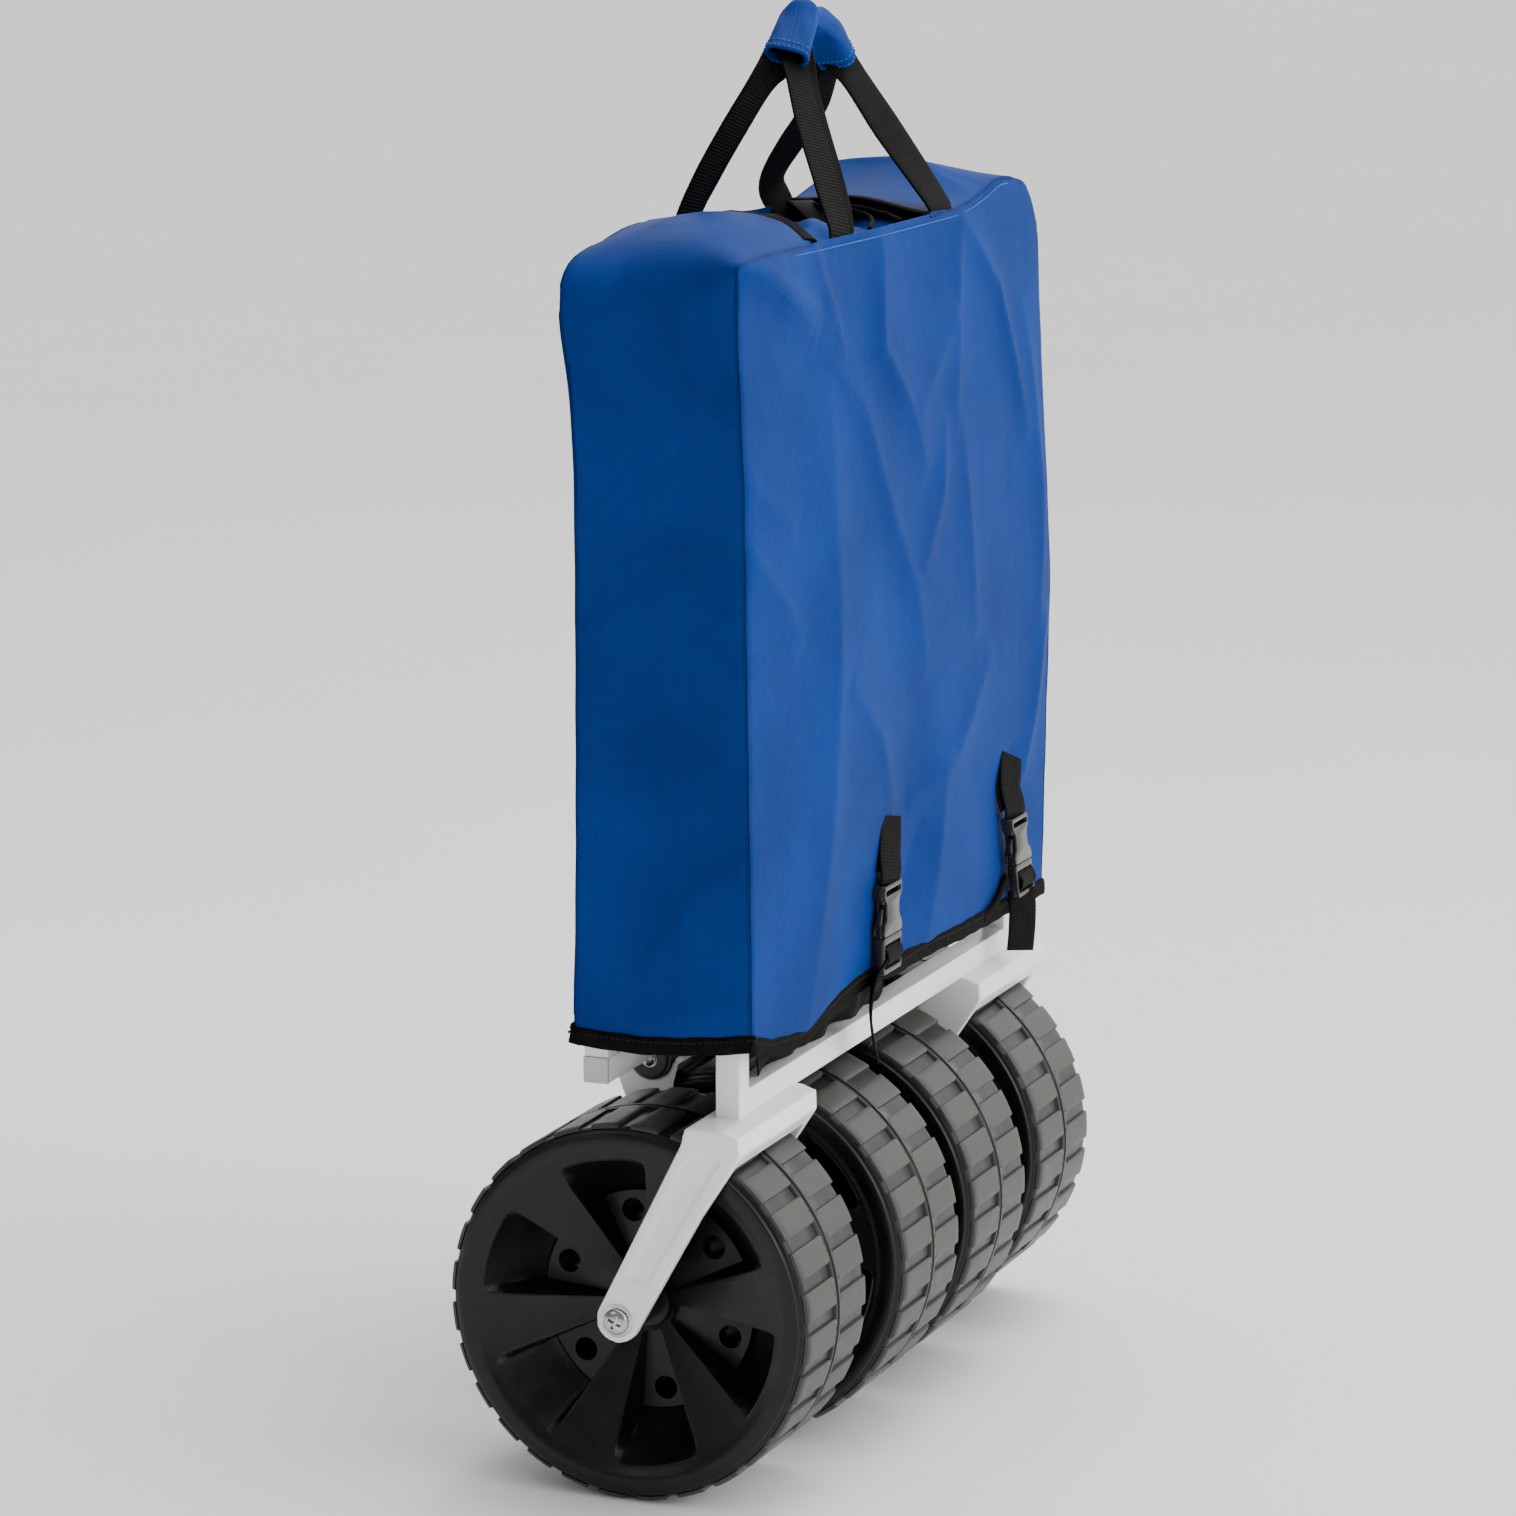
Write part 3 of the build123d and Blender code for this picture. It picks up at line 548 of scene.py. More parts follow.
# ------------------------------------------------------------------ repeated parts by geometry nodes
class NodeGroup:
    """A geometry node tree with named inputs, put on an object and turned into a plain mesh."""

    def __init__(self, name: str, inputs: dict[str, tuple[str, float]]) -> None:
        """Make the empty tree with a geometry input and the named number inputs.

        Args:
            name: the tree's name.
            inputs: socket type and first value by name.
        """
        self.tree = bpy.data.node_groups.new(name, "GeometryNodeTree")
        face = self.tree.interface
        face.new_socket("Geometry", in_out="INPUT", socket_type="NodeSocketGeometry")
        self.sockets = {}
        for label, (kind, value) in inputs.items():
            socket = face.new_socket(label, in_out="INPUT", socket_type=kind)
            socket.default_value = value
            self.sockets[label] = socket.identifier
        face.new_socket("Geometry", in_out="OUTPUT", socket_type="NodeSocketGeometry")
        self.entry = add_node(self.tree, "NodeGroupInput")
        self.exit = add_node(self.tree, "NodeGroupOutput")

    def end(self, geometry: bpy.types.NodeSocket, finish: Finish) -> None:
        """Close the tree with realised instances dressed in a finish.

        Args:
            geometry: what the tree has made.
            finish: its finish.
        """
        real = add_node(self.tree, "GeometryNodeRealizeInstances", {"Geometry": geometry})
        dressed = add_node(self.tree, "GeometryNodeSetMaterial", {"Geometry": real.outputs[0]})
        dressed.inputs["Material"].default_value = finish.material()
        self.tree.links.new(dressed.outputs[0], self.exit.inputs[0])

    def grow(self, name: str, carrier: bpy.types.Object, finish: Finish,
             values: dict[str, float]) -> bpy.types.Object:
        """Run the tree on a carrier and return the result as a plain mesh named name.

        Args:
            name: the new piece's name.
            carrier: the object that the tree reads; it is removed.
            finish: the finish, for the mesh's own slot.
            values: input values by label, in metres or counts.

        Returns:
            The new piece.
        """
        modifier = carrier.modifiers.new("Grow", "NODES")
        modifier.node_group = self.tree
        for label, value in values.items():
            modifier[self.sockets[label]] = value
        graph = bpy.context.evaluated_depsgraph_get()
        mesh = bpy.data.meshes.new_from_object(carrier.evaluated_get(graph), depsgraph=graph)
        mesh.name = name
        if not mesh.materials:
            mesh.materials.append(finish.material())
        piece = bpy.data.objects.new(name, mesh)
        bpy.context.scene.collection.objects.link(piece)
        bpy.data.objects.remove(carrier)
        shade(piece, 40)
        return piece


def stitch_group(finish: Finish) -> NodeGroup:
    """Tree that lays sunken-ended stitches along an edge path.

    Args:
        finish: the thread's finish.

    Returns:
        The tree, ready to grow stitches on a path.
    """
    group = NodeGroup("stitch_run_" + finish.name, {"Pitch": ("NodeSocketFloat", 0.0034),
                                                    "Length": ("NodeSocketFloat", 0.0026),
                                      "Thickness": ("NodeSocketFloat", 0.0006)})
    tree, entry = group.tree, group.entry
    curve = add_node(tree, "GeometryNodeMeshToCurve", {"Mesh": entry.outputs["Geometry"]})
    points = add_node(tree, "GeometryNodeCurveToPoints", {"Curve": curve.outputs[0],
                                                          "Length": entry.outputs["Pitch"]},
                      mode="LENGTH")
    half = add_node(tree, "ShaderNodeMath", {0: entry.outputs["Length"], 1: 0.5}, operation="MULTIPLY")
    thread = add_node(tree, "GeometryNodeMeshUVSphere", {"Segments": 6, "Rings": 4, "Radius": 1.0})
    size = add_node(tree, "ShaderNodeCombineXYZ", {0: entry.outputs["Thickness"], 1: entry.outputs["Thickness"],
                                                   2: half.outputs[0]})
    laid = add_node(tree, "GeometryNodeInstanceOnPoints", {"Points": points.outputs["Points"],
                                                           "Instance": thread.outputs["Mesh"],
                                                           "Rotation": points.outputs["Rotation"],
                                                           "Scale": size.outputs[0]})
    group.end(laid.outputs[0], finish)
    return group


class Sewing:
    """Rows of stitches; one tree per thread."""

    groups: dict[str, NodeGroup] = {}

    @classmethod
    def row(cls, name: str, path: np.ndarray, finish: Finish, pitch: float = 3.6, length: float = 2.8,
            thick: float = 0.55) -> bpy.types.Object:
        """Stitch along a path in mm and return the row as one mesh.

        Args:
            name: the row's name.
            path: points in mm.
            finish: thread.
            pitch: stitch spacing in mm.
            length: stitch length in mm.
            thick: thread thickness in mm.

        Returns:
            The row.
        """
        if finish.name not in cls.groups:
            cls.groups[finish.name] = stitch_group(finish)
        mesh = bpy.data.meshes.new(name + "_path")
        mesh.from_pydata((path * MM).tolist(), [(i, i + 1) for i in range(len(path) - 1)], [])
        carrier = bpy.data.objects.new(name + "_path", mesh)
        bpy.context.scene.collection.objects.link(carrier)
        return cls.groups[finish.name].grow(name, carrier, finish, {"Pitch": pitch * MM, "Length": length * MM,
                                                                    "Thickness": thick * MM})


# ------------------------------------------------------------------ wheels
@dataclass
class Wheel:
    """Moulded balloon wheel with six wedge pockets a side and two staggered tread bands."""

    name: str
    x: float
    y: float
    radius: float = 120.0
    width: float = 104.0
    axle_z: float = 120.0
    sectors: int = 6
    phase: float = 41.0
    half_pocket: float = 17.6
    hub_r: float = 16.0
    bore_r: float = 10.9
    rim_r: float = 99.0
    floor_r: float = 70.0
    floor_depth: float = 37.5
    ditch: float = 2.5
    hub_depth: float = 34.0
    hole_r: float = 7.5
    hole_pcr: float = 57.0
    tread_depth: float = 2.2
    pitches: int = 28
    strip_mm: float = 8.0

    def blade(self, r: float) -> float:
        """Depth of the spokes below the rim face at a radius.

        Args:
            r: radius in mm.

        Returns:
            Depth in mm.
        """
        if r <= self.hub_r:
            return self.hub_depth - 3.0
        share = min(1.0, (r - self.hub_r) / (self.rim_r + 1.5 - self.hub_r))
        return self.hub_depth + (2.4 - self.hub_depth) * share

    def pocket(self, r: float) -> float:
        """Depth of the pocket floor and of its hollow outer wall at a radius.

        Args:
            r: radius in mm.

        Returns:
            Depth in mm.
        """
        if r <= self.hub_r + 3.5:
            return self.blade(r)
        if r <= self.floor_r:
            return self.floor_depth
        share = min(1.0, (r - self.floor_r) / (self.rim_r - 1.5 - self.floor_r))
        deepest = self.floor_depth + self.ditch
        wall = deepest - (deepest - 2.0) * share ** 1.22
        return max(self.blade(r), wall) if share >= 1 else wall

    def rings(self) -> list[tuple[float, float, float]]:
        """(radius, depth on a spoke, depth in a pocket) from the bore to the tread shoulder.

        Returns:
            One triple for each ring of points.
        """
        radii = [self.bore_r, 14.6, 15.6, self.hub_r + 0.4, self.hub_r + 1.6, self.hub_r + 3.4, self.hub_r + 4.0,
                 24, 28,
                 34, 40, 48, 57, 64, self.floor_r - 0.5, self.floor_r + 0.4, 72, 75, 78.5, 82, 86, 90, 93, 95.5,
                 self.rim_r - 2.0, self.rim_r - 1.0, self.rim_r, self.rim_r + 1.5]
        out = [(r, self.blade(r), self.pocket(r)) for r in radii]
        rim = [(102.5, 1.2), (105, 0.2), (108, 0.0), (111.5, 0.0), (113.0, 0.5), (113.6, 1.8), (114.2, 2.2),
               (115.4, 2.4),
               (116.4, 3.2), (self.radius - self.tread_depth, 5.5)]
        return out + [(r, d, d) for r, d in rim]

    def body(self) -> bpy.types.Object:
        """The moulding without its raised tread pads.

        Returns:
            The moulding.
        """
        half = self.width / 2
        face = self.rings()
        low = self.radius - self.tread_depth
        band = [(low, 8.0), (low, 20.0), (low, 34.0), (low, half - 6.5), (low + 0.3, half - 5.8),
                (self.radius - 0.6, half - 5.0),
                (self.radius, half - 4.0), (self.radius, half - 1.8), (self.radius - 0.6, half - 1.1),
                (self.radius - 2.2, half - 0.3)]
        loop = [(r, half - a, half - b) for r, a, b in face]
        loop += [(r, half - d, half - d) for r, d in band]
        loop += [(r, -y1, -y2) for r, y1, y2 in reversed(loop)]
        local = [-30, -25.5, -21.5, -19.2, -self.half_pocket - 0.55, -self.half_pocket - 0.1,
                 -self.half_pocket + 0.35,
                 -self.half_pocket + 2.5, -self.half_pocket + 3.3, -12.0, -8.5, -4.2]
        local = local + [0.0] + [-a for a in reversed(local[1:])]
        weight = [0, 0, 0, 0, 0, 0.012, 0.10, 0.93, 1, 1, 1, 1]
        weight = weight + [1] + list(reversed(weight[1:]))
        angles = [math.radians(self.phase + k * 360 / self.sectors + a) for k in range(self.sectors) for a in local]
        weights = weight * self.sectors
        rows = []
        for r, y_blade, y_pocket in loop:
            for angle, w in zip(angles, weights):
                y = y_blade + (y_pocket - y_blade) * w
                rows.append((self.x + r * math.cos(angle), self.y - y, self.axle_z + r * math.sin(angle)))
        obj = new_object(self.name, np.array(rows), grid_faces(len(loop), len(angles), True, True), WHEEL)
        clean(obj)
        self.drill(obj)
        shade(obj, 33)
        return obj

    def drill(self, obj: bpy.types.Object) -> None:
        """Cut the six round through holes of the pockets.

        Args:
            obj: the moulding.
        """
        bm = bmesh.new()
        for k in range(self.sectors):
            angle = math.radians(self.phase + k * 360 / self.sectors)
            spot = Vector((self.x + self.hole_pcr * math.cos(angle), self.y,
                           self.axle_z + self.hole_pcr * math.sin(angle))) * MM
            place = Matrix.Translation(spot) @ Matrix.Rotation(math.pi / 2, 4, "X")
            bmesh.ops.create_cone(bm, cap_ends=True, segments=32, radius1=self.hole_r * MM,
                                  radius2=self.hole_r * MM,
                                  depth=60 * MM, matrix=place)
        mesh = bpy.data.meshes.new("drill")
        bm.to_mesh(mesh)
        bm.free()
        cutter = bpy.data.objects.new("drill", mesh)
        bpy.context.scene.collection.objects.link(cutter)
        modify(obj, "BOOLEAN", operation="DIFFERENCE", solver="EXACT", object=cutter)
        settle(obj)
        bpy.data.objects.remove(cutter)

    def pad(self) -> tuple[list, list]:
        """One raised tread pad, centred on the top of the drum, from near the seam to the shoulder.

        Returns:
            Vertices and faces.
        """
        span = 360 / self.pitches * 0.5 - math.degrees(self.strip_mm / 2 / self.radius)
        high = self.tread_depth
        steps = [-span, -span + 0.22, -span + 0.7, -span / 2, 0, span / 2, span - 0.7, span - 0.22, span]
        rise = [-0.6, high - 0.45, high, high, high, high, high, high - 0.45, -0.6]
        across = [(1.6, -0.8), (2.2, high - 0.7), (3.0, high), (8.0, high), (40.0, high), (45.5, high),
                  (47.0, high - 0.3),
                  (48.3, high - 1.2), (48.9, -1.0)]
        low = self.radius - self.tread_depth
        verts = []
        for y, cap in across:
            for a, h in zip(steps, rise):
                r = low + min(h, cap) if min(h, cap) > 0 else low - 0.8
                angle = math.radians(a)
                verts.append((r * math.sin(angle), y, r * math.cos(angle)))
        return verts, grid_faces(len(across), len(steps))

    def tread(self) -> bpy.types.Object:
        """Both bands of pads, placed round the drum by geometry nodes.

        Returns:
            All the pads as one piece.
        """
        parts = []
        for sign, shift in ((-1, 0.0), (1, 0.5)):
            verts, faces = self.pad()
            points = np.array(verts) * (1, sign, 1)
            if sign > 0:
                faces = [f[::-1] for f in faces]
            parts.append((points, faces, shift))
        made = []
        for i, (points, faces, shift) in enumerate(parts):
            carrier = new_object(f"{self.name}_pad{i}", points, faces, TREAD)
            made.append(TreadRing.group().grow(f"{self.name}_band{i}", carrier, TREAD, {
                "Count": self.pitches, "Start": math.radians((shift + self.phase / 12) * 360 / self.pitches)}))
        piece = joined(self.name + "_tread_pads", made)
        clean(piece)
        piece.data.transform(Matrix.Translation(Vector((self.x, self.y, self.axle_z)) * MM))
        shade(piece, 35)
        return piece

    def build(self) -> None:
        """Make the wheel and hang it on its body."""
        body = self.name
        end, side = self.name.split("_")[:2]
        cad = f"{end}_wheel_{side}"
        moulding = self.body()
        moulding.name = self.name + "_moulding"
        pads = self.tread()
        for piece in (moulding, pads):
            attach(piece, body)
        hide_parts(cad)
        LOG.info("wheel %s with %d tread pads", self.name, 2 * self.pitches)


class TreadRing:
    """Tree that repeats one pad round the wheel's axis, which runs along Y."""

    made: Optional[NodeGroup] = None

    @classmethod
    def group(cls) -> NodeGroup:
        """The tree, made on first use.

        Returns:
            The tree.
        """
        if cls.made:
            return cls.made
        group = NodeGroup("tread_ring", {"Count": ("NodeSocketInt", 30), "Start": ("NodeSocketFloat", 0.0)})
        tree, entry = group.tree, group.entry
        line = add_node(tree, "GeometryNodeMeshLine", {"Count": entry.outputs["Count"], "Offset": (0, 0, 0)})
        index = add_node(tree, "GeometryNodeInputIndex")
        step = add_node(tree, "ShaderNodeMath", {0: 2 * math.pi, 1: entry.outputs["Count"]}, operation="DIVIDE")
        turn = add_node(tree, "ShaderNodeMath", {0: index.outputs[0], 1: step.outputs[0],
                                                 2: entry.outputs["Start"]},
                        operation="MULTIPLY_ADD")
        spin = add_node(tree, "ShaderNodeCombineXYZ", {1: turn.outputs[0]})
        copies = add_node(tree, "GeometryNodeInstanceOnPoints", {"Points": line.outputs[0],
                                                                 "Instance": entry.outputs["Geometry"],
                                                                 "Rotation": spin.outputs[0]})
        group.end(copies.outputs[0], TREAD)
        cls.made = group
        return group


# ------------------------------------------------------------------ steel frame, kept from CAD with soft edges
@dataclass
class FrameSteel:
    """Tubes, castings and fasteners that keep their CAD shape with rolled or cast edges."""

    edge: float = 1.3
    cast_voxel: float = 1.25

    def copy_of(self, node: str, name: str) -> bpy.types.Object:
        """A welded copy of a CAD node's mesh.

        Args:
            node: CAD node.
            name: the copy's name.

        Returns:
            The copy.
        """
        obj = bpy.data.objects.new(name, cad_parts[node].data.copy())
        bpy.context.scene.collection.objects.link(obj)
        bm = bmesh.new()
        bm.from_mesh(obj.data)
        bmesh.ops.remove_doubles(bm, verts=bm.verts, dist=0.01 * MM)
        bmesh.ops.dissolve_limit(bm, angle_limit=math.radians(1.0), verts=bm.verts, edges=bm.edges)
        bm.to_mesh(obj.data)
        bm.free()
        obj.data.materials.clear()
        return obj

    def soften(self, node: str, body: str, finish: Finish, width: float) -> None:
        """Replace a node by its copy with rounded edges.

        Args:
            node: CAD node.
            body: what it rides on.
            finish: its finish.
            width: rounding in mm.
        """
        piece = self.copy_of(node, node + "_soft_edged")
        piece.data.materials.append(finish.material())
        modify(piece, "BEVEL", width=width * MM, segments=3, limit_method="ANGLE", angle_limit=math.radians(35),
               harden_normals=False)
        settle(piece)
        shade(piece, 32)
        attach(piece, body)
        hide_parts(node)

    def cast(self, node: str, body: str, finish: Finish, passes: int = 4) -> None:
        """Replace a node by a sand-soft casting of it, with flowing inner and outer corners.

        Args:
            node: CAD node.
            body: what it rides on.
            finish: its finish.
            passes: rounds of smoothing.
        """
        piece = self.copy_of(node, node + "_casting")
        piece.data.materials.append(finish.material())
        modify(piece, "REMESH", mode="VOXEL", voxel_size=self.cast_voxel * MM)
        modify(piece, "SMOOTH", factor=0.5, iterations=passes)
        settle(piece)
        shade(piece)
        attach(piece, body)
        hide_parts(node)

    def build(self) -> None:
        """Dress every metal and plastic node."""
        for side in ("left", "right"):
            self.cast(f"rear_fork_{side}", "rear_frame", POWDER)
            self.cast(f"caster_fork_{side}", f"caster_{side}", POWDER, 3)
            for end in ("rear", "front"):
                self.soften(f"{end}_post_{side}", f"{end}_frame", POWDER, self.edge)
        for end in ("rear", "front"):
            for part in ("bottom_rail", "top_rail"):
                self.soften(f"{end}_{part}", f"{end}_frame", POWDER, self.edge)
        plain = {"rear_axle_nuts": ZINC, "rear_foot_pins": ZINC, "front_frame_pins": ZINC,
                 "rear_scissor_pins": ZINC, "front_scissor_pins": ZINC, "caster_axle_left": ZINC,
                 "caster_axle_right": ZINC, "handle_inner_tube": POWDER, "handle_outer_tube": POWDER,
                 "rear_wheel_bushes_left": NYLON, "rear_wheel_bushes_right": NYLON,
                 "front_wheel_bushes_left": NYLON, "front_wheel_bushes_right": NYLON,
                 "rear_lift_bars": POWDER, "rear_cross_bars": POWDER, "front_lift_bars": POWDER,
                 "front_cross_bars": POWDER, "caster_boss_left": NYLON, "caster_boss_right": NYLON,
                 "rear_post_caps": PLUG, "front_frame_caps": PLUG, "rear_sliders": NYLON, "front_sliders": NYLON,
                 "handle_collar": NYLON, "handle_grip": NYLON, "handle_bracket": POWDER,
                 "caster_housings": POWDER}
        for label, side in (("left", -1), ("right", 1)):
            axle = PanScrew(f"rear_axle_{label}_screw", -3.5, side * 280.0, 120.0, side, -137.0,
                            "rear_frame").build()
            if side < 0:
                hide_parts("rear_axles")
            PanScrew(f"caster_{label}_knuckle_screw", -46.0, side * 127.9, 245.0, side, -6.0, f"caster_{label}",
                     4.6, 2.4, 2.0,
                     5.4, 0.7, 12.0).build()
        for node, finish in plain.items():
            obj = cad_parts[node]
            obj.data.materials.clear()
            obj.data.materials.append(finish.material())
        LOG.info("frame steel dressed, %d plain nodes", len(plain))


@dataclass
class PanScrew:
    """Screw lying along Y, with a domed head, a cross recess and a washer."""

    name: str
    x: float
    y: float
    z: float
    side: int
    tip: float
    body: str
    head_r: float = 8.2
    head_h: float = 3.9
    shank_r: float = 6.0
    washer_r: float = 9.6
    washer_t: float = 1.1
    turn: float = 24.0

    def turned(self, profile: Sequence[tuple[float, float]], segments: int = 48) -> tuple[np.ndarray, list]:
        """Revolve (radius, distance out from the seat) pairs round the screw's axis.

        Args:
            profile: outline from the crown to the tip.
            segments: points round the axis.

        Returns:
            Vertices and faces.
        """
        rows = [(self.x + r * math.cos(a), self.y + self.side * out, self.z + r * math.sin(a))
                for r, out in profile for a in np.linspace(0, 2 * math.pi, segments, endpoint=False)]
        return np.array(rows), grid_faces(len(profile), segments, False, True)

    def build(self) -> bpy.types.Object:
        """Turn the screw, cut its recess and hang it on its body.

        Returns:
            The screw.
        """
        t, h, r = self.washer_t, self.head_h, self.head_r
        rise = h - 0.9
        dome = [(r * math.sin(a), t + 0.9 + rise * math.cos(a)) for a in np.linspace(0.02, math.pi / 2, 12)]
        washer = [(r - 0.6, t), (self.washer_r - 0.3, t), (self.washer_r, t - 0.3), (self.washer_r, 0.2),
                  (self.washer_r - 0.3, 0)]
        shank = [(self.shank_r, 0), (self.shank_r, self.tip + 0.6), (self.shank_r - 0.6, self.tip)]
        profile = [(0.01, t + h), *dome, (r, t + 0.4), *washer, *shank, (0.01, self.tip)]
        verts, faces = self.turned(profile)
        screw = clean(new_object(self.name, verts, faces, ZINC))
        bm = bmesh.new()
        for k in range(2):
            spin = Matrix.Rotation(math.radians(self.turn + 90 * k), 4, "Y")
            size = Matrix.Diagonal((r * 1.10, 4.8, r * 0.24, 1.0))
            seat = Matrix.Translation((self.x, self.y + self.side * (t + h), self.z))
            bmesh.ops.create_cube(bm, size=1.0, matrix=seat @ spin @ size)
        bmesh.ops.transform(bm, matrix=Matrix.Diagonal((MM, MM, MM, 1.0)), verts=bm.verts)
        mesh = bpy.data.meshes.new("cross_cutter")
        bm.to_mesh(mesh)
        bm.free()
        cutter = bpy.data.objects.new("cross_cutter", mesh)
        bpy.context.scene.collection.objects.link(cutter)
        modify(screw, "BOOLEAN", operation="DIFFERENCE", solver="EXACT", use_self=True, object=cutter)
        settle(screw)
        bpy.data.objects.remove(cutter)
        shade(screw, 30)
        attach(screw, self.body)
        return screw


# ------------------------------------------------------------------ storage cover
@dataclass(frozen=True)
class Fold:
    """A crease in a panel: a polyline in panel coordinates with a height, two flank widths and a crispness."""

    line: tuple
    height: float
    left: float
    right: float
    crisp: float = 1.12

    def lift(self, a: np.ndarray, b: np.ndarray) -> np.ndarray:
        """Height of the fold at panel coordinates (a, b).

        Args:
            a: first coordinate.
            b: second coordinate.

        Returns:
            Height in mm at each point.
        """
        pts = np.asarray(self.line, float)
        total = run_length(pts)
        best = np.full(a.shape, 1e9)
        signed, where = np.zeros(a.shape), np.zeros(a.shape)
        for i in range(len(pts) - 1):
            p, q = pts[i], pts[i + 1]
            d = q - p
            t = np.clip(((a - p[0]) * d[0] + (b - p[1]) * d[1]) / (d @ d), 0, 1)
            da, db = a - p[0] - t * d[0], b - p[1] - t * d[1]
            dist = np.hypot(da, db)
            near = dist < best
            best = np.where(near, dist, best)
            signed = np.where(near, np.sign(d[0] * db - d[1] * da) * dist, signed)
            where = np.where(near, (total[i] + t * (total[i + 1] - total[i])) / total[-1], where)
        width = np.where(signed > 0, self.left, self.right)
        taper = np.sin(np.clip(where, 0, 1) * math.pi) ** 0.55
        return self.height * taper * np.exp(-(np.abs(signed) / width) ** self.crisp)


FRONT_FOLDS = (
    Fold(((-262, 768), (-204, 741), (-143, 713)), 5.6, 30, 7, 1.0),
    Fold(((-150, 716), (-80, 664), (-33, 585), (6, 535), (30, 470)), 4.0, 34, 16),
    Fold(((-26, 768), (-44, 693), (4, 647), (34, 602)), 5.0, 30, 12),
    Fold(((72, 640), (63, 608), (58, 588), (16, 544)), 3.0, 14, 14),
    Fold(((100, 700), (14, 645)), 3.0, 12, 18),
    Fold(((-130, 690), (-132, 508), (-145, 404), (-185, 270)), 5.0, 42, 34),
    Fold(((-114, 491), (-59, 448), (-25, 394)), 3.2, 18, 12),
    Fold(((160, 470), (77, 412), (0, 396)), 3.5, 18, 14),
    Fold(((102, 640), (114, 542), (125, 480)), 3.0, 18, 24),
    Fold(((109, 767), (181, 707), (236, 600)), 3.5, 12, 10),
    Fold(((275, 480), (240, 400), (222, 360)), 3.5, 12, 16),
    Fold(((-246, 769), (-170, 737), (-117, 715)), 2.0, 8, 10),
    Fold(((-144, 769), (-117, 727), (-100, 690)), 2.6, 10, 14),
    Fold(((-262, 600), (-220, 568), (-180, 530)), 2.4, 10, 14),
    Fold(((-262, 640), (-186, 601)), 1.6, 10, 12),
    Fold(((118, 767), (100, 700), (92, 620)), 3.5, 14, 26),
    Fold(((30, 380), (-6, 330), (-22, 292)), -3.5, 22, 26),
    Fold(((200, 400), (205, 340), (226, 292)), -4.0, 24, 18),
    Fold(((60, 420), (52, 340), (40, 286)), 3.0, 26, 20),
    Fold(((230, 700), (262, 560), (258, 460)), 4.0, 26, 22),
)
END_FOLDS = (
    Fold(((22, 750), (46, 683), (70, 668)), 3.2, 9, 14),
    Fold(((30, 655), (53, 624), (74, 600)), 2.6, 9, 13),
    Fold(((-36, 540), (2, 562)), 2.0, 9, 12),
    Fold(((80, 414), (43, 386), (-6, 318)), 2.6, 30, 12),
    Fold(((0, 304), (76, 318)), 1.6, 9, 9),
    Fold(((54, 562), (76, 548)), 1.6, 8, 8),
    Fold(((48, 742), (66, 716)), 1.6, 6, 8),
)
BACK_FOLDS = (
    Fold(((-262, 740), (-180, 640), (-120, 560)), 5.0, 30, 14),
    Fold(((270, 740), (180, 660), (120, 540)), 5.0, 16, 30),
    Fold(((-60, 760), (-70, 620), (-40, 470)), 4.5, 24, 30),
    Fold(((110, 760), (80, 600), (110, 430)), 4.5, 26, 22),
    Fold(((-160, 480), (-170, 380), (-150, 290)), 5.0, 36, 30),
    Fold(((20, 460), (10, 360), (30, 290)), 4.0, 28, 34),
    Fold(((190, 470), (200, 360), (180, 290)), 4.5, 30, 26),
)


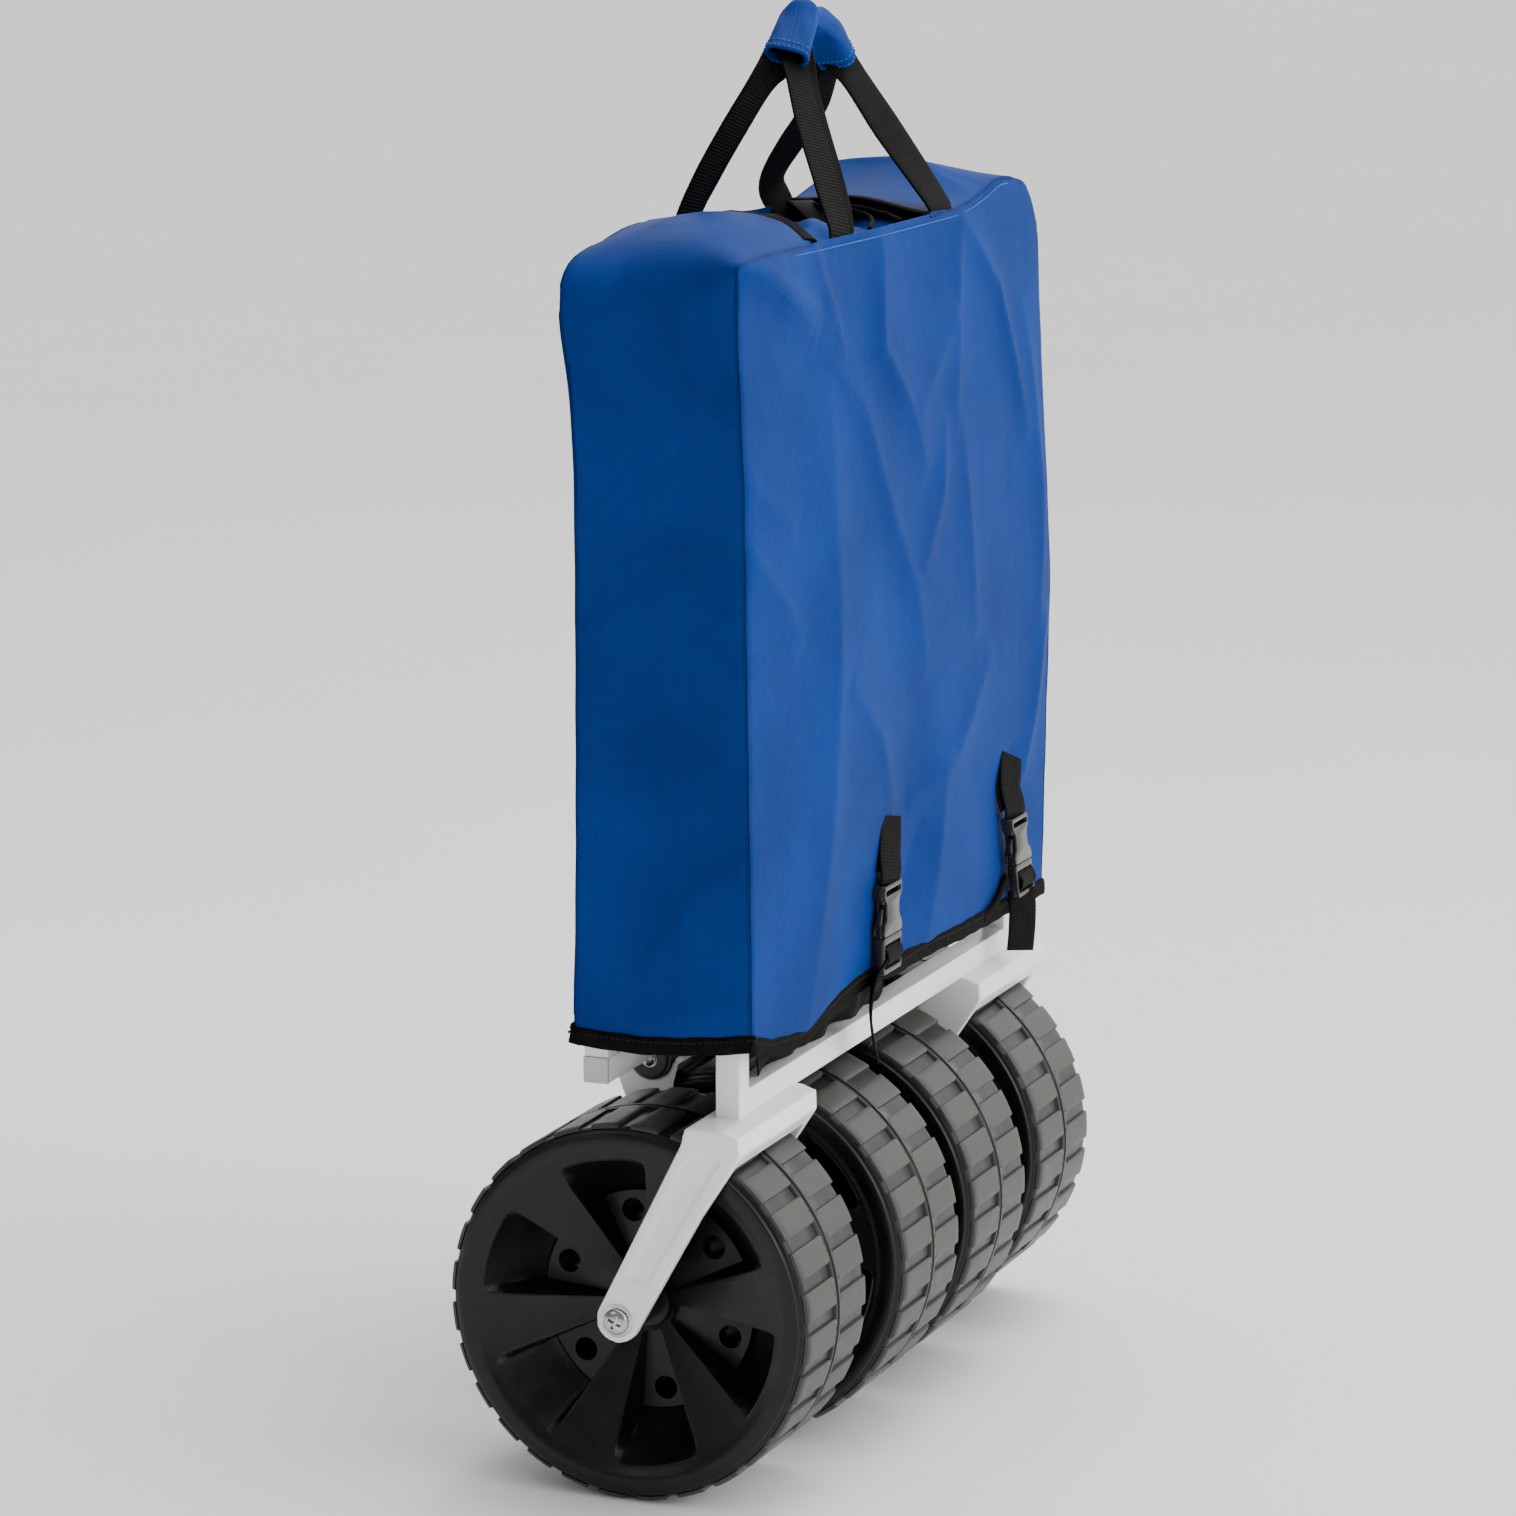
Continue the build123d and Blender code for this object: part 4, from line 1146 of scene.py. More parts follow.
@dataclass
class StorageCover:
    """Sewn cover: two end gussets that wrap over the top, a front and a back panel."""

    cloth: float = 1.3
    step: float = 3.8
    seam_dip: float = 1.1
    near_front: tuple = ((77.5, -260, 294), (76.9, -261, 387), (74.9, -261, 509), (72.8, -261, 629),
                         (69.2, -262, 719),
                         (69.0, -263, 767))
    near_back: tuple = ((-41.0, -260, 288), (-38.0, -261, 400), (-37.5, -261, 590), (-39.5, -261, 671),
                        (-47.0, -260, 728),
                        (-49.5, -256, 752))
    far_front: tuple = ((77, 275, 280), (77, 280, 400), (76, 287, 500), (74, 284, 560), (72, 276, 656),
                        (69, 274, 740))
    far_back: tuple = ((-44, 274, 288), (-46, 280, 410), (-47, 286, 510), (-48, 281, 600), (-49, 275, 690),
                       (-49, 268, 746))
    front_top: tuple = ((69.0, -263, 767), (69.8, -252, 770.5), (70.0, -205, 771), (69.0, -142, 769.5),
                        (69.5, -60, 768),
                        (69.5, 66, 766.5), (69.5, 120, 767), (69.5, 162, 772), (69.0, 197, 778),
                        (69.0, 230, 774.5),
                        (69, 256, 765), (69, 274, 740))
    back_top: tuple = ((-49.5, -256, 752), (-48.5, -243, 765), (-48, -196, 772), (-48, -138, 777),
                       (-48, -60, 774),
                       (-48, 5, 769), (-47, 60, 766), (-46, 113, 767), (-46, 160, 775), (-45.5, 188, 782.5),
                       (-45.4, 196, 785.5),
                       (-46, 204, 781.5), (-47, 240, 768), (-49, 268, 746))
    pleat_edge: tuple = ((79.8, 146, 287.5), (80.9, 164, 292.5), (80.5, 179, 299.5), (79.5, 190, 307.5))
    near_flap: tuple = (-142.0, 5.0)
    far_flap: tuple = (66.0, 113.0)

    def hem(self, y: np.ndarray) -> np.ndarray:
        """Height of the front panel's lower edge along the cover.

        Args:
            y: places along the cover.

        Returns:
            Height in mm at each place.
        """
        at = [-261, -230, -179, -154, -75, -3, 60, 120, 159, 194, 216, 245, 275]
        z = [293, 284, 280, 285, 292, 287, 287, 285.5, 283.5, 282.5, 281.5, 280.5, 280]
        fine = np.arange(-300, 320, 2.0)
        rough = np.interp(fine, at, z)
        kernel = np.hanning(15) / np.hanning(15).sum()
        return np.interp(y, fine, np.convolve(np.pad(rough, 7, mode="edge"), kernel, "valid"))

    def sample(self, points: Sequence[Point], count: int) -> np.ndarray:
        """A smooth curve through the points, evenly spaced, count samples.

        Args:
            points: places on the curve.
            count: number of samples.

        Returns:
            The samples.
        """
        path = smooth_path(points, 1.5)
        where = run_length(path)
        even = np.linspace(0, where[-1], count)
        return np.stack([np.interp(even, where, path[:, i]) for i in range(3)], 1)

    @staticmethod
    def coons(low: np.ndarray, high: np.ndarray, left: np.ndarray, right: np.ndarray) -> np.ndarray:
        """Patch between four boundary curves: low and high run in u, left and right in v.

        Args:
            low: edge where v is 0.
            high: edge where v is 1.
            left: edge where u is 0.
            right: edge where u is 1.

        Returns:
            Grid of points.
        """
        u = np.linspace(0, 1, len(low))[None, :, None]
        v = np.linspace(0, 1, len(left))[:, None, None]
        ruled_v = (1 - v) * low[None] + v * high[None]
        ruled_u = (1 - u) * left[:, None] + u * right[:, None]
        corners = (1 - u) * (1 - v) * low[0] + u * (1 - v) * low[-1] + (1 - u) * v * high[0] + u * v * high[-1]
        return ruled_v + ruled_u - corners

    @staticmethod
    def ease(shape: tuple[int, int], u_rows: float = 5, v_rows: float = 5) -> np.ndarray:
        """Weight that is zero on the patch edges and one inside.

        Args:
            shape: rows and columns.
            u_rows: columns over which it rises.
            v_rows: rows over which it rises.

        Returns:
            Weight at each point.
        """
        v = np.minimum(np.arange(shape[0]), np.arange(shape[0])[::-1]) / v_rows
        u = np.minimum(np.arange(shape[1]), np.arange(shape[1])[::-1]) / u_rows
        return np.clip(v, 0, 1)[:, None] ** 0.7 * np.clip(u, 0, 1)[None, :] ** 0.7

    def panels(self) -> dict[str, np.ndarray]:
        """Vertex grids of the four sewn pieces, with shared boundary points.

        Returns:
            Grids named front, back, near and far.
        """
        nv = int(480 / self.step)
        nx = int(122 / self.step)
        n_near, n_open, n_far = int(122 / self.step), int(208 / self.step), int(230 / self.step)
        top_front = self.sample(self.front_top, 900)
        top_back = self.sample(self.back_top, 900)
        cuts = {}
        for label, line, cut_near, cut_far in (("front", top_front, self.near_flap[0], self.far_flap[0]),
                                               ("back", top_back, self.near_flap[1], self.far_flap[1])):
            a = int(np.argmin(np.abs(line[:, 1] - cut_near)))
            b = int(np.argmin(np.abs(line[:, 1] - cut_far)))
            parts = [line[:a + 1], line[a:b + 1], line[b:]]
            counts = (n_near, n_open, n_far)
            cuts[label] = [self.resample(part, count + 1) for part, count in zip(parts, counts)]
        edges = {}
        for label in ("near_front", "near_back", "far_front", "far_back"):
            edges[label] = self.sample(getattr(self, label), nv + 1)
        y = np.linspace(-261, 275, n_near + n_open + n_far + 1)
        top_f = np.vstack([cuts["front"][0], cuts["front"][1][1:], cuts["front"][2][1:]])
        top_b = np.vstack([cuts["back"][0], cuts["back"][1][1:], cuts["back"][2][1:]])
        low_f = np.stack([np.interp(y, (-261, -150, 60, 275), (77.5, 79.0, 78.5, 77.0)), y, self.hem(y)], 1)
        low_f[0], low_f[-1] = edges["near_front"][0], edges["far_front"][0]
        low_b = np.stack([np.interp(y, (-261, -120, 80, 275), (-41, -50, -50, -44)), y,
                          288 + 3 * np.sin(y / 60.0)], 1)
        low_b[0], low_b[-1] = edges["near_back"][0], edges["far_back"][0]
        front = self.coons(low_f, top_f, edges["near_front"], edges["far_front"])
        back = self.coons(low_b, top_b, edges["near_back"], edges["far_back"])
        front = self.shape_wide(front, FRONT_FOLDS, 1.0)
        back = self.shape_wide(back, BACK_FOLDS, -1.0)
        out = {"front": front, "back": back}
        for end, sign in (("near", -1), ("far", 1)):
            part = 0 if end == "near" else 2
            run_f, run_b = cuts["front"][part], cuts["back"][part]
            if end == "far":
                run_f, run_b = run_f[::-1], run_b[::-1]
            left = np.vstack([edges[f"{end}_back"], run_b[1:]])
            right = np.vstack([edges[f"{end}_front"], run_f[1:]])
            low = np.linspace(left[0], right[0], nx + 1)
            low[:, 2] += -4.0 * np.sin(np.linspace(0, math.pi, nx + 1)) * (1 if end == "near" else 0.4)
            high = self.flap_edge(left[-1], right[-1], nx + 1, end)
            grid = self.coons(low, high, left, right)
            out[end] = self.shape_end(grid, nv, end, sign)
        return out

    @staticmethod
    def resample(line: np.ndarray, count: int) -> np.ndarray:
        """Evenly spaced copy of a polyline.

        Args:
            line: polyline.
            count: number of points.

        Returns:
            The new polyline.
        """
        where = run_length(line)
        even = np.linspace(0, where[-1], count)
        return np.stack([np.interp(even, where, line[:, i]) for i in range(3)], 1)

    @staticmethod
    def flap_edge(start: np.ndarray, end: np.ndarray, count: int, which: str) -> np.ndarray:
        """Free edge of a top flap, sagging between the two panels.

        Args:
            start: its first end.
            end: its last end.
            count: number of points.
            which: near or far.

        Returns:
            Points along the edge.
        """
        t = np.linspace(0, 1, count)[:, None]
        line = start + (end - start) * t
        if which == "near":
            line[:, 2] += 5.0 * np.sin(t[:, 0] * math.pi) - 1.0 * np.sin(t[:, 0] * 2 * math.pi)
            line[:, 1] += 8.0 * np.sin(t[:, 0] * math.pi)
        else:
            line[:, 2] += 6.0 * np.sin(t[:, 0] * math.pi) ** 2
            line[:, 1] -= 6.0 * np.sin(t[:, 0] * math.pi)
        return line

    def shape_wide(self, grid: np.ndarray, folds: Sequence[Fold], sign: float) -> np.ndarray:
        """Bulge and crease a wide panel along X.

        Args:
            grid: points to move.
            folds: its creases.
            sign: outward direction.

        Returns:
            The grid.
        """
        y, z = grid[..., 1], grid[..., 2]
        v = np.clip((z - 287) / 480, 0, 1)
        u = np.clip((y + 261) / 536, 0, 1)
        belly = 4.5 * np.sin(u * math.pi) * np.sin(np.clip(v * 1.05, 0, 1) * math.pi)
        belly += 2.0 * np.sin(u * 9.0 + 0.8) * (1 - v) ** 1.5 * np.sin(u * math.pi)
        belly += 1.0 * np.sin(y / 23.0 + z / 90.0) * np.sin(u * math.pi) * (0.3 + 0.7 * (1 - v))
        lift = belly * (1.0 if sign > 0 else 1.6)
        creases = 1.35 * sum(f.lift(y, z) for f in folds)
        weight = self.ease(y.shape, 3, 2)
        grid[..., 0] += sign * (lift + creases * weight)
        return grid

    def shape_end(self, grid: np.ndarray, bend: int, end: str, sign: float) -> np.ndarray:
        """Hollow the end wall, crown the top flap and add its folds.

        Args:
            grid: points to move.
            bend: row where the top begins.
            end: near or far.
            sign: outward direction.

        Returns:
            The grid.
        """
        rows, columns = grid.shape[:2]
        t = np.linspace(0, 1, columns)[None, :]
        v = np.clip(np.arange(rows) / bend, 0, 1)[:, None]
        wall = (np.arange(rows) <= bend)[:, None]
        hollow = -3.0 if end == "near" else 5.0
        push = hollow * np.sin(t * math.pi) * np.sin(v * math.pi)
        push = push + 1.2 * np.sin(t * 7 + 0.4) * np.sin(v * math.pi)
        if end == "near":
            creases = sum(fold.lift(grid[..., 0], grid[..., 2]) for fold in END_FOLDS)
            push = push + 1.5 * creases * self.ease((rows, columns), 2, 3)
        grid[..., 1] += np.where(wall, sign * push, 0)
        w = np.clip((np.arange(rows) - bend) / (rows - 1 - bend), 0, 1)[:, None]
        height = 5.0 if end == "near" else 1.2
        crown = height * np.sin(t * math.pi) * np.sin(np.clip(w, 0, 1) * math.pi) ** 0.6
        if end == "near":
            y, x = grid[..., 1], grid[..., 0]
            crown = crown + Fold(((-50, -230), (-20, -170), (-10, -60)), 2.5, 9, 14).lift(x, y)
            crown = crown + Fold(((60, -250), (20, -200), (-20, -180)), 2.0, 8, 12).lift(x, y)
        else:
            y, x = grid[..., 1], grid[..., 0]
            crown = crown + Fold(((-46, 196), (0, 188), (66, 150)), 4.0, 20, 12).lift(x, y)
        grid[..., 2] += np.where(wall, 0, crown * self.ease((rows, columns), 3, 3))
        return self.round_over(grid, bend)

    def round_over(self, grid: np.ndarray, bend: int, reach: int = 12, passes: int = 42) -> np.ndarray:
        """Ease the turn from the end wall to the top flap, away from the two seams.

        Args:
            grid: points to move.
            bend: row where the top begins.
            reach: rows on each side.
            passes: rounds of easing.

        Returns:
            The grid.
        """
        rows, columns = grid.shape[:2]
        near_bend = np.clip(1 - np.abs(np.arange(rows) - bend) / reach, 0, 1) ** 0.5
        away = np.clip(np.minimum(np.arange(columns), np.arange(columns)[::-1]) / 9.0, 0, 1)
        weight = (0.5 * near_bend[:, None] * away[None, :] ** 1.4)[1:-1, :, None]
        for _ in range(passes):
            middle = (grid[:-2] + grid[2:]) / 2
            grid[1:-1] += weight * (middle - grid[1:-1])
        return grid

    def shell(self, grids: dict[str, np.ndarray]) -> bpy.types.Object:
        """Weld the four grids into one sewn shell with dipped seams and thickness.

        Args:
            grids: the four grids.

        Returns:
            The shell.
        """
        verts, faces, uvs, seams = [], [], [], []
        for name, grid in grids.items():
            rows, columns = grid.shape[:2]
            start = sum(len(v) for v in verts)
            flip = name in ("back", "far")
            new = grid_faces(rows, columns)
            faces += [tuple(start + i for i in (f[::-1] if flip else f)) for f in new]
            verts.append(grid.reshape(-1, 3))
            mid = grid[rows // 2]
            along = np.tile(run_length(mid)[None], (rows, 1))
            up = np.tile(run_length(grid[:, columns // 2])[:, None], (1, columns))
            uvs.append(np.stack([along, up], -1).reshape(-1, 2) * MM)
            mark = np.zeros((rows, columns))
            if name in ("front", "back"):
                mark[:, 0] = mark[:, -1] = 1
                n_near, n_open = self.counts
                mark[-1, :n_near + 1] = 1
                mark[-1, n_near + n_open:] = 1
            else:
                mark[:, 0] = mark[:, -1] = 1
            seams.append(mark.ravel())
        obj = new_object("storage_cover_shell", np.vstack(verts), faces, CANVAS, np.vstack(uvs))
        # the seam mark sinks the seams and also paints shade along them in the cloth's colour
        attribute = obj.data.attributes.new("seam", "FLOAT", "POINT")
        attribute.data.foreach_set("value", np.concatenate(seams).astype(np.float32))
        clean(obj, 0.05, outward=False)
        self.dip(obj)
        modify(obj, "SOLIDIFY", thickness=self.cloth * MM, offset=-1.0, use_even_offset=False)
        settle(obj)
        shade(obj, 75)
        return obj

    def dip(self, obj: bpy.types.Object) -> None:
        """Sink the seam rows into the cloth and pucker them a little.

        Args:
            obj: the welded shell.
        """
        mesh = obj.data
        mesh.update()
        normals = np.zeros(len(mesh.vertices) * 3)
        mesh.vertices.foreach_get("normal", normals)
        co = np.zeros(len(mesh.vertices) * 3)
        mesh.vertices.foreach_get("co", co)
        seam = np.zeros(len(mesh.vertices), np.float32)
        mesh.attributes["seam"].data.foreach_get("value", seam)
        co, normals = co.reshape(-1, 3), normals.reshape(-1, 3)
        pucker = 1 + 0.35 * np.sin(co[:, 2] / 0.009) + 0.35 * np.sin(co[:, 1] / 0.008)
        co -= normals * (seam * self.seam_dip * pucker * MM)[:, None]
        mesh.vertices.foreach_set("co", co.ravel())
        mesh.update()

    @property
    def counts(self) -> tuple[int, int]:
        """Columns of the near flap part and of the opening on the wide panels."""
        return int(122 / self.step), int(208 / self.step)

    def ring(self, grids: dict[str, np.ndarray]) -> np.ndarray:
        """The lower edge all round, in order."""
        return np.vstack([grids["near"][0][:-1], grids["front"][0][:-1], grids["far"][0][::-1][:-1],
                          grids["back"][0][::-1][:-1]])

    def bind(self, name: str, path: np.ndarray, wide: float, thick: float, closed: bool,
             up: Point) -> bpy.types.Object:
        """Binding tape folded over an edge.

        Args:
            name: the tape's name.
            path: edge in mm.
            wide: width.
            thick: thickness.
            closed: whether it is a ring.
            up: direction of its width.

        Returns:
            The tape.
        """
        section = band_section(wide, thick, 2, 0.25)
        wobble = 0.5 * np.sin(np.arange(len(path)) * 0.9) + 0.4 * np.sin(np.arange(len(path)) * 0.37)
        across = np.tile(np.asarray(up, float), (len(path), 1))
        verts, faces, uv = sweep(path + wobble[:, None] * np.asarray(up, float) * 0.5, across, section, closed)
        return clean(new_object(name, verts, faces, BINDING, uv, 60))

    def lining(self) -> list[bpy.types.Object]:
        """Loose cloth tucked inside the top opening, its piping and the end of an inner strap.

        Returns:
            The pieces.
        """
        x, y = np.linspace(-18, 63, 40), np.linspace(-150, 128, 92)
        gx, gy = np.meshgrid(x, y)
        wave = 3.2 * np.sin(gy / 13 + gx / 31) + 2.2 * np.sin(gx / 8.5 - gy / 37) + 1.2 * np.sin(gy / 6.1 + gx / 11)
        ridge = Fold(((60, -120), (20, -30), (-10, 90)), 4.5, 12, 5).lift(gx, gy)
        gz = 760.5 + wave * 0.62 + ridge - 2.5 * np.clip((gy - 10) / 60, 0, 1)
        points = np.stack([gx, gy, np.minimum(gz, 766.5)], -1).reshape(-1, 3)
        uv = np.stack([gx, gy], -1).reshape(-1, 2) * MM
        sheet = new_object("inner_cloth", points, grid_faces(len(y), len(x)), CANVAS, uv)
        modify(sheet, "SOLIDIFY", thickness=1.2 * MM, offset=-1.0)
        settle(sheet)
        shade(sheet, 70)
        loops = [((60, -20, 765), (46, 18, 768), (20, 42, 769.5), (-8, 62, 769), (-22, 88, 767)),
                 ((62, 30, 765), (44, 52, 766.5), (22, 66, 768), (2, 84, 767), (-10, 104, 765))]
        made = [sheet]
        for i, line in enumerate(loops):
            made.append(self.bind(f"inner_piping_{i}", smooth_path(line, 3.0), 4.0, 2.6, False, (0, 0, 1)))
        strap = smooth_path(((-30, 96, 752), (-29, 88, 764), (-24, 74, 770), (-12, 58, 768), (4, 46, 760)), 3.0)
        verts, faces, uv = sweep(strap, np.tile((0.8, 0.6, 0.0), (len(strap), 1)), band_section(17.0, 1.8), False)
        made.append(clean(new_object("inner_strap_end", verts, faces, WEBBING, uv, 70)))
        return made

    def build(self) -> None:
        """Make the shell, its bindings and stitch rows, and hang them on the cover body."""
        grids = self.panels()
        shell = self.shell(grids)
        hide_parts("cover_left_end", "cover_right_end", "cover_front_panel", "cover_back_panel",
                    "cover_top_flaps")
        ring = self.ring(grids)
        hem = self.bind("hem_binding", ring + (0, 0, 3.6), 11.6, 3.6, True, (0, 0, 1))
        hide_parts("cover_hem_binding")
        near = self.bind("near_flap_binding", grids["near"][-1][1:-1], 9.0, 2.8, False, (0, 1, 0))
        far = self.bind("far_flap_binding", grids["far"][-1][1:-1], 9.0, 2.8, False, (0, 1, 0))
        pleat = self.bind("hem_pleat_binding", smooth_path(self.pleat_edge, 3.0), 8.5, 3.2, False, (0.2, 0, 1))
        pieces = [shell, hem, near, far, pleat, *self.lining()]
        top = grids["front"][-1][4:-22] + (1.4, 0, -5.0)
        pieces.append(Sewing.row("front_top_stitches", top, THREAD))
        ring_up = np.vstack([ring, ring[:1]])
        out = unit((ring_up - (15, 7, 0)) * (1, 0.22, 0)) * 2.1
        pieces.append(Sewing.row("hem_stitches", ring_up + (0, 0, 6.2) + out, DARK_THREAD))
        for piece in pieces:
            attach(piece, "storage_cover")
        LOG.info("storage cover sewn, %d pieces", len(pieces))


# ------------------------------------------------------------------ straps and buckles
@dataclass
class CarryStraps:
    """Two webbing loops and the cloth grip wrapped round them."""

    width: float = 30.0
    thick: float = 2.0
    # each row: x, y, z, share of the width along Y, share along X, share of the width left
    front: tuple = ((64.0, -88, 757, 1, .05, 1), (66.0, -86, 771, 1, .12, 1), (55, -76, 797, 1, .25, 1),
                    (36, -59, 834, 1, .28, 1), (23, -45, 862, .95, .30, .92), (15, -32, 877, .5, .85, .66),
                    (9, -12, 889, 0, 1, .52), (6.5, -2, 892, 0, 1, .52), (5.5, 28, 884, 0, 1, .52),
                    (5, 48, 874, .5, .85, .62),
                    (13, 64, 857, 1, .30, .92), (33, 76.5, 822, 1, .30, 1), (54, 88.5, 787, 1, .20, 1),
                    (65.5, 93, 767, 1, .12, 1), (64, 94, 756, 1, .05, 1))
    back: tuple = ((-45, -66, 752, 1, .10, 1), (-44.5, -66, 772, 1, .15, 1), (-33, -61.5, 799, 1, .25, 1),
                   (-17.5, -55, 829, 1, .28, 1), (-2, -47.5, 857, 1, .30, 1), (6, -39, 871, .7, .7, .72),
                   (8.5, -24, 881, .3, .95, .55), (7, -8, 889, 0, 1, .52), (6, 2, 889, 0, 1, .52),
                   (5.5, 30, 881, 0, 1, .52),
                   (4, 50, 869, .5, .85, .62), (-3, 64, 855, 1, .30, .92), (-13, 70, 832, 1, .30, 1),
                   (-28, 74, 811, .9, .3, 1), (-41, 75, 791, .9, .2, 1), (-46, 83, 777, .9, .1, 1),
                   (-44, 93, 764, 1, .1, 1), (-43.5, 95, 752, 1, .1, 1))
    # each row of the wrap: x, y, z, half width, half depth, roll in degrees
    wrap: tuple = ((13.5, -46, 873.5, 14.0, 6.6, 24), (12.5, -40, 877.0, 13.6, 6.6, 20),
                   (9.5, -22, 886.5, 13.0, 7.0, 8),
                   (7.0, -9, 891.6, 12.4, 7.6, 2), (6.5, -4, 892.6, 11.8, 8.2, 0), (6.0, 2, 891.8, 12.2, 8.5, -2),
                   (5.5, 18, 889.5, 12.8, 9.2, -6), (5.0, 40, 881.0, 13.0, 9.4, -10),
                   (4.6, 56, 869.5, 12.8, 9.0, -14),
                   (4.4, 63, 863.5, 13.2, 8.6, -16))

    def strap(self, name: str, spec: tuple) -> bpy.types.Object:
        """One loop of webbing, folded narrower where it runs through the wrap.

        Args:
            name: the loop's name.
            spec: its rows.

        Returns:
            The loop.
        """
        rows = np.array(spec, float)
        both = smooth_path(np.hstack([rows[:, :3], rows[:, 3:] * 100]), 4.0)
        across = np.stack([both[:, 4], both[:, 3], np.zeros(len(both))], 1)
        verts, faces, uv = sweep(both[:, :3], across, band_section(self.width, self.thick), False,
                                 both[:, 5] / 100)
        return clean(new_object(name, verts, faces, WEBBING, uv, 70))

    def sleeve(self) -> tuple[bpy.types.Object, list[np.ndarray]]:
        """The wrap: a flattened sleeve bent over like a saddle, with a sharp crease on its crest.

        Returns:
            The wrap, and the rings along which its hems are sewn.
        """
        fine = smooth_path(np.array(self.wrap, float), 2.4)
        rows, n = len(fine), 44
        path = fine[:, :3]
        tangent = unit(np.gradient(path, axis=0))
        where = run_length(path) / run_length(path)[-1]
        crest = path[:, 1] + 4.0
        verts = np.zeros((rows, n, 3))
        for i in range(rows):
            roll = math.radians(fine[i, 5])
            side = np.array((math.cos(roll), 0.0, -math.sin(roll)))
            side = unit(side - (side @ tangent[i]) * tangent[i])
            normal = np.cross(side, tangent[i])
            pinch = math.exp(-(abs(crest[i]) / 4.8) ** 1.0)
            for k in range(n):
                a = 2 * math.pi * k / n
                c, u = math.cos(a), math.sin(a)
                wave = 0.8 * math.sin(3 * a + 9 * where[i]) + 0.5 * math.sin(5 * a - 17 * where[i])
                out = fine[i, 3] * math.copysign(abs(c) ** 0.6, c)
                rise = fine[i, 4] * math.copysign(abs(u) ** 0.7, u)
                rise += wave * math.sin(math.pi * where[i]) * abs(u)
                rise += pinch * (4.4 * max(u, 0.0) ** 0.5 * (1.0 + 0.4 * c) + 2.0 * max(-u, 0.0) ** 0.5)
                verts[i, k] = path[i] + side * out + normal * rise
        uv = np.stack([np.tile(np.arange(n) / n * 0.085, rows), np.repeat(run_length(path) * MM, n)], 1)
        obj = clean(new_object("carry_grip_wrap", verts.reshape(-1, 3), grid_faces(rows, n, False, True), CANVAS,
                               uv))
        modify(obj, "SOLIDIFY", thickness=1.8 * MM, offset=-1.0)
        settle(obj)
        shade(obj, 60)
        return obj, [verts[i] for i in (1, 3, rows - 4, rows - 2)]

    def build(self) -> None:
        """Make both loops, the wrap and its hem stitches."""
        front = self.strap("front_carry_webbing", self.front)
        back = self.strap("back_carry_webbing", self.back)
        wrap, rings = self.sleeve()
        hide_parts("carry_strap_front")
        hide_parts("carry_strap_back")
        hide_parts("carry_grip")
        pieces = [front, back, wrap]
        for i, ring in enumerate(rings):
            loop = np.vstack([ring, ring[:1]])
            middle = loop.mean(0)
            pieces.append(Sewing.row(f"grip_stitches_{i}", loop + unit(loop - middle) * 0.35, THREAD, 3.0, 2.4,
                                     0.5))
        for piece in pieces:
            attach(piece, "storage_cover")
        LOG.info("carry straps and grip made")


def rounded(points: Sequence[Sequence[float]], radius: float, steps: int = 4) -> np.ndarray:
    """Polygon with each corner cut by a small arc.

    Args:
        points: corners.
        radius: arc size in mm.
        steps: points on each arc.

    Returns:
        The softened polygon.
    """
    pts = np.asarray(points, float)
    out = []
    for i in range(len(pts)):
        a, b, c = pts[i - 1], pts[i], pts[(i + 1) % len(pts)]
        u, v = a - b, c - b
        r = min(radius, 0.45 * np.linalg.norm(u), 0.45 * np.linalg.norm(v))
        u, v = unit(u) * r, unit(v) * r
        for t in np.linspace(0, 1, steps + 1):
            out.append(b + u * (1 - t) ** 2 + v * t ** 2)
    return np.array(out)


def inset(points: np.ndarray, amount: float) -> np.ndarray:
    """Polygon moved inwards along its vertex normals (counter-clockwise outline).

    Args:
        points: polygon.
        amount: distance in mm.

    Returns:
        The smaller polygon.
    """
    before, after = np.roll(points, 1, 0), np.roll(points, -1, 0)
    edge = unit(points - before) + unit(after - points)
    normal = unit(np.stack([-edge[:, 1], edge[:, 0]], 1))
    return points + normal * amount


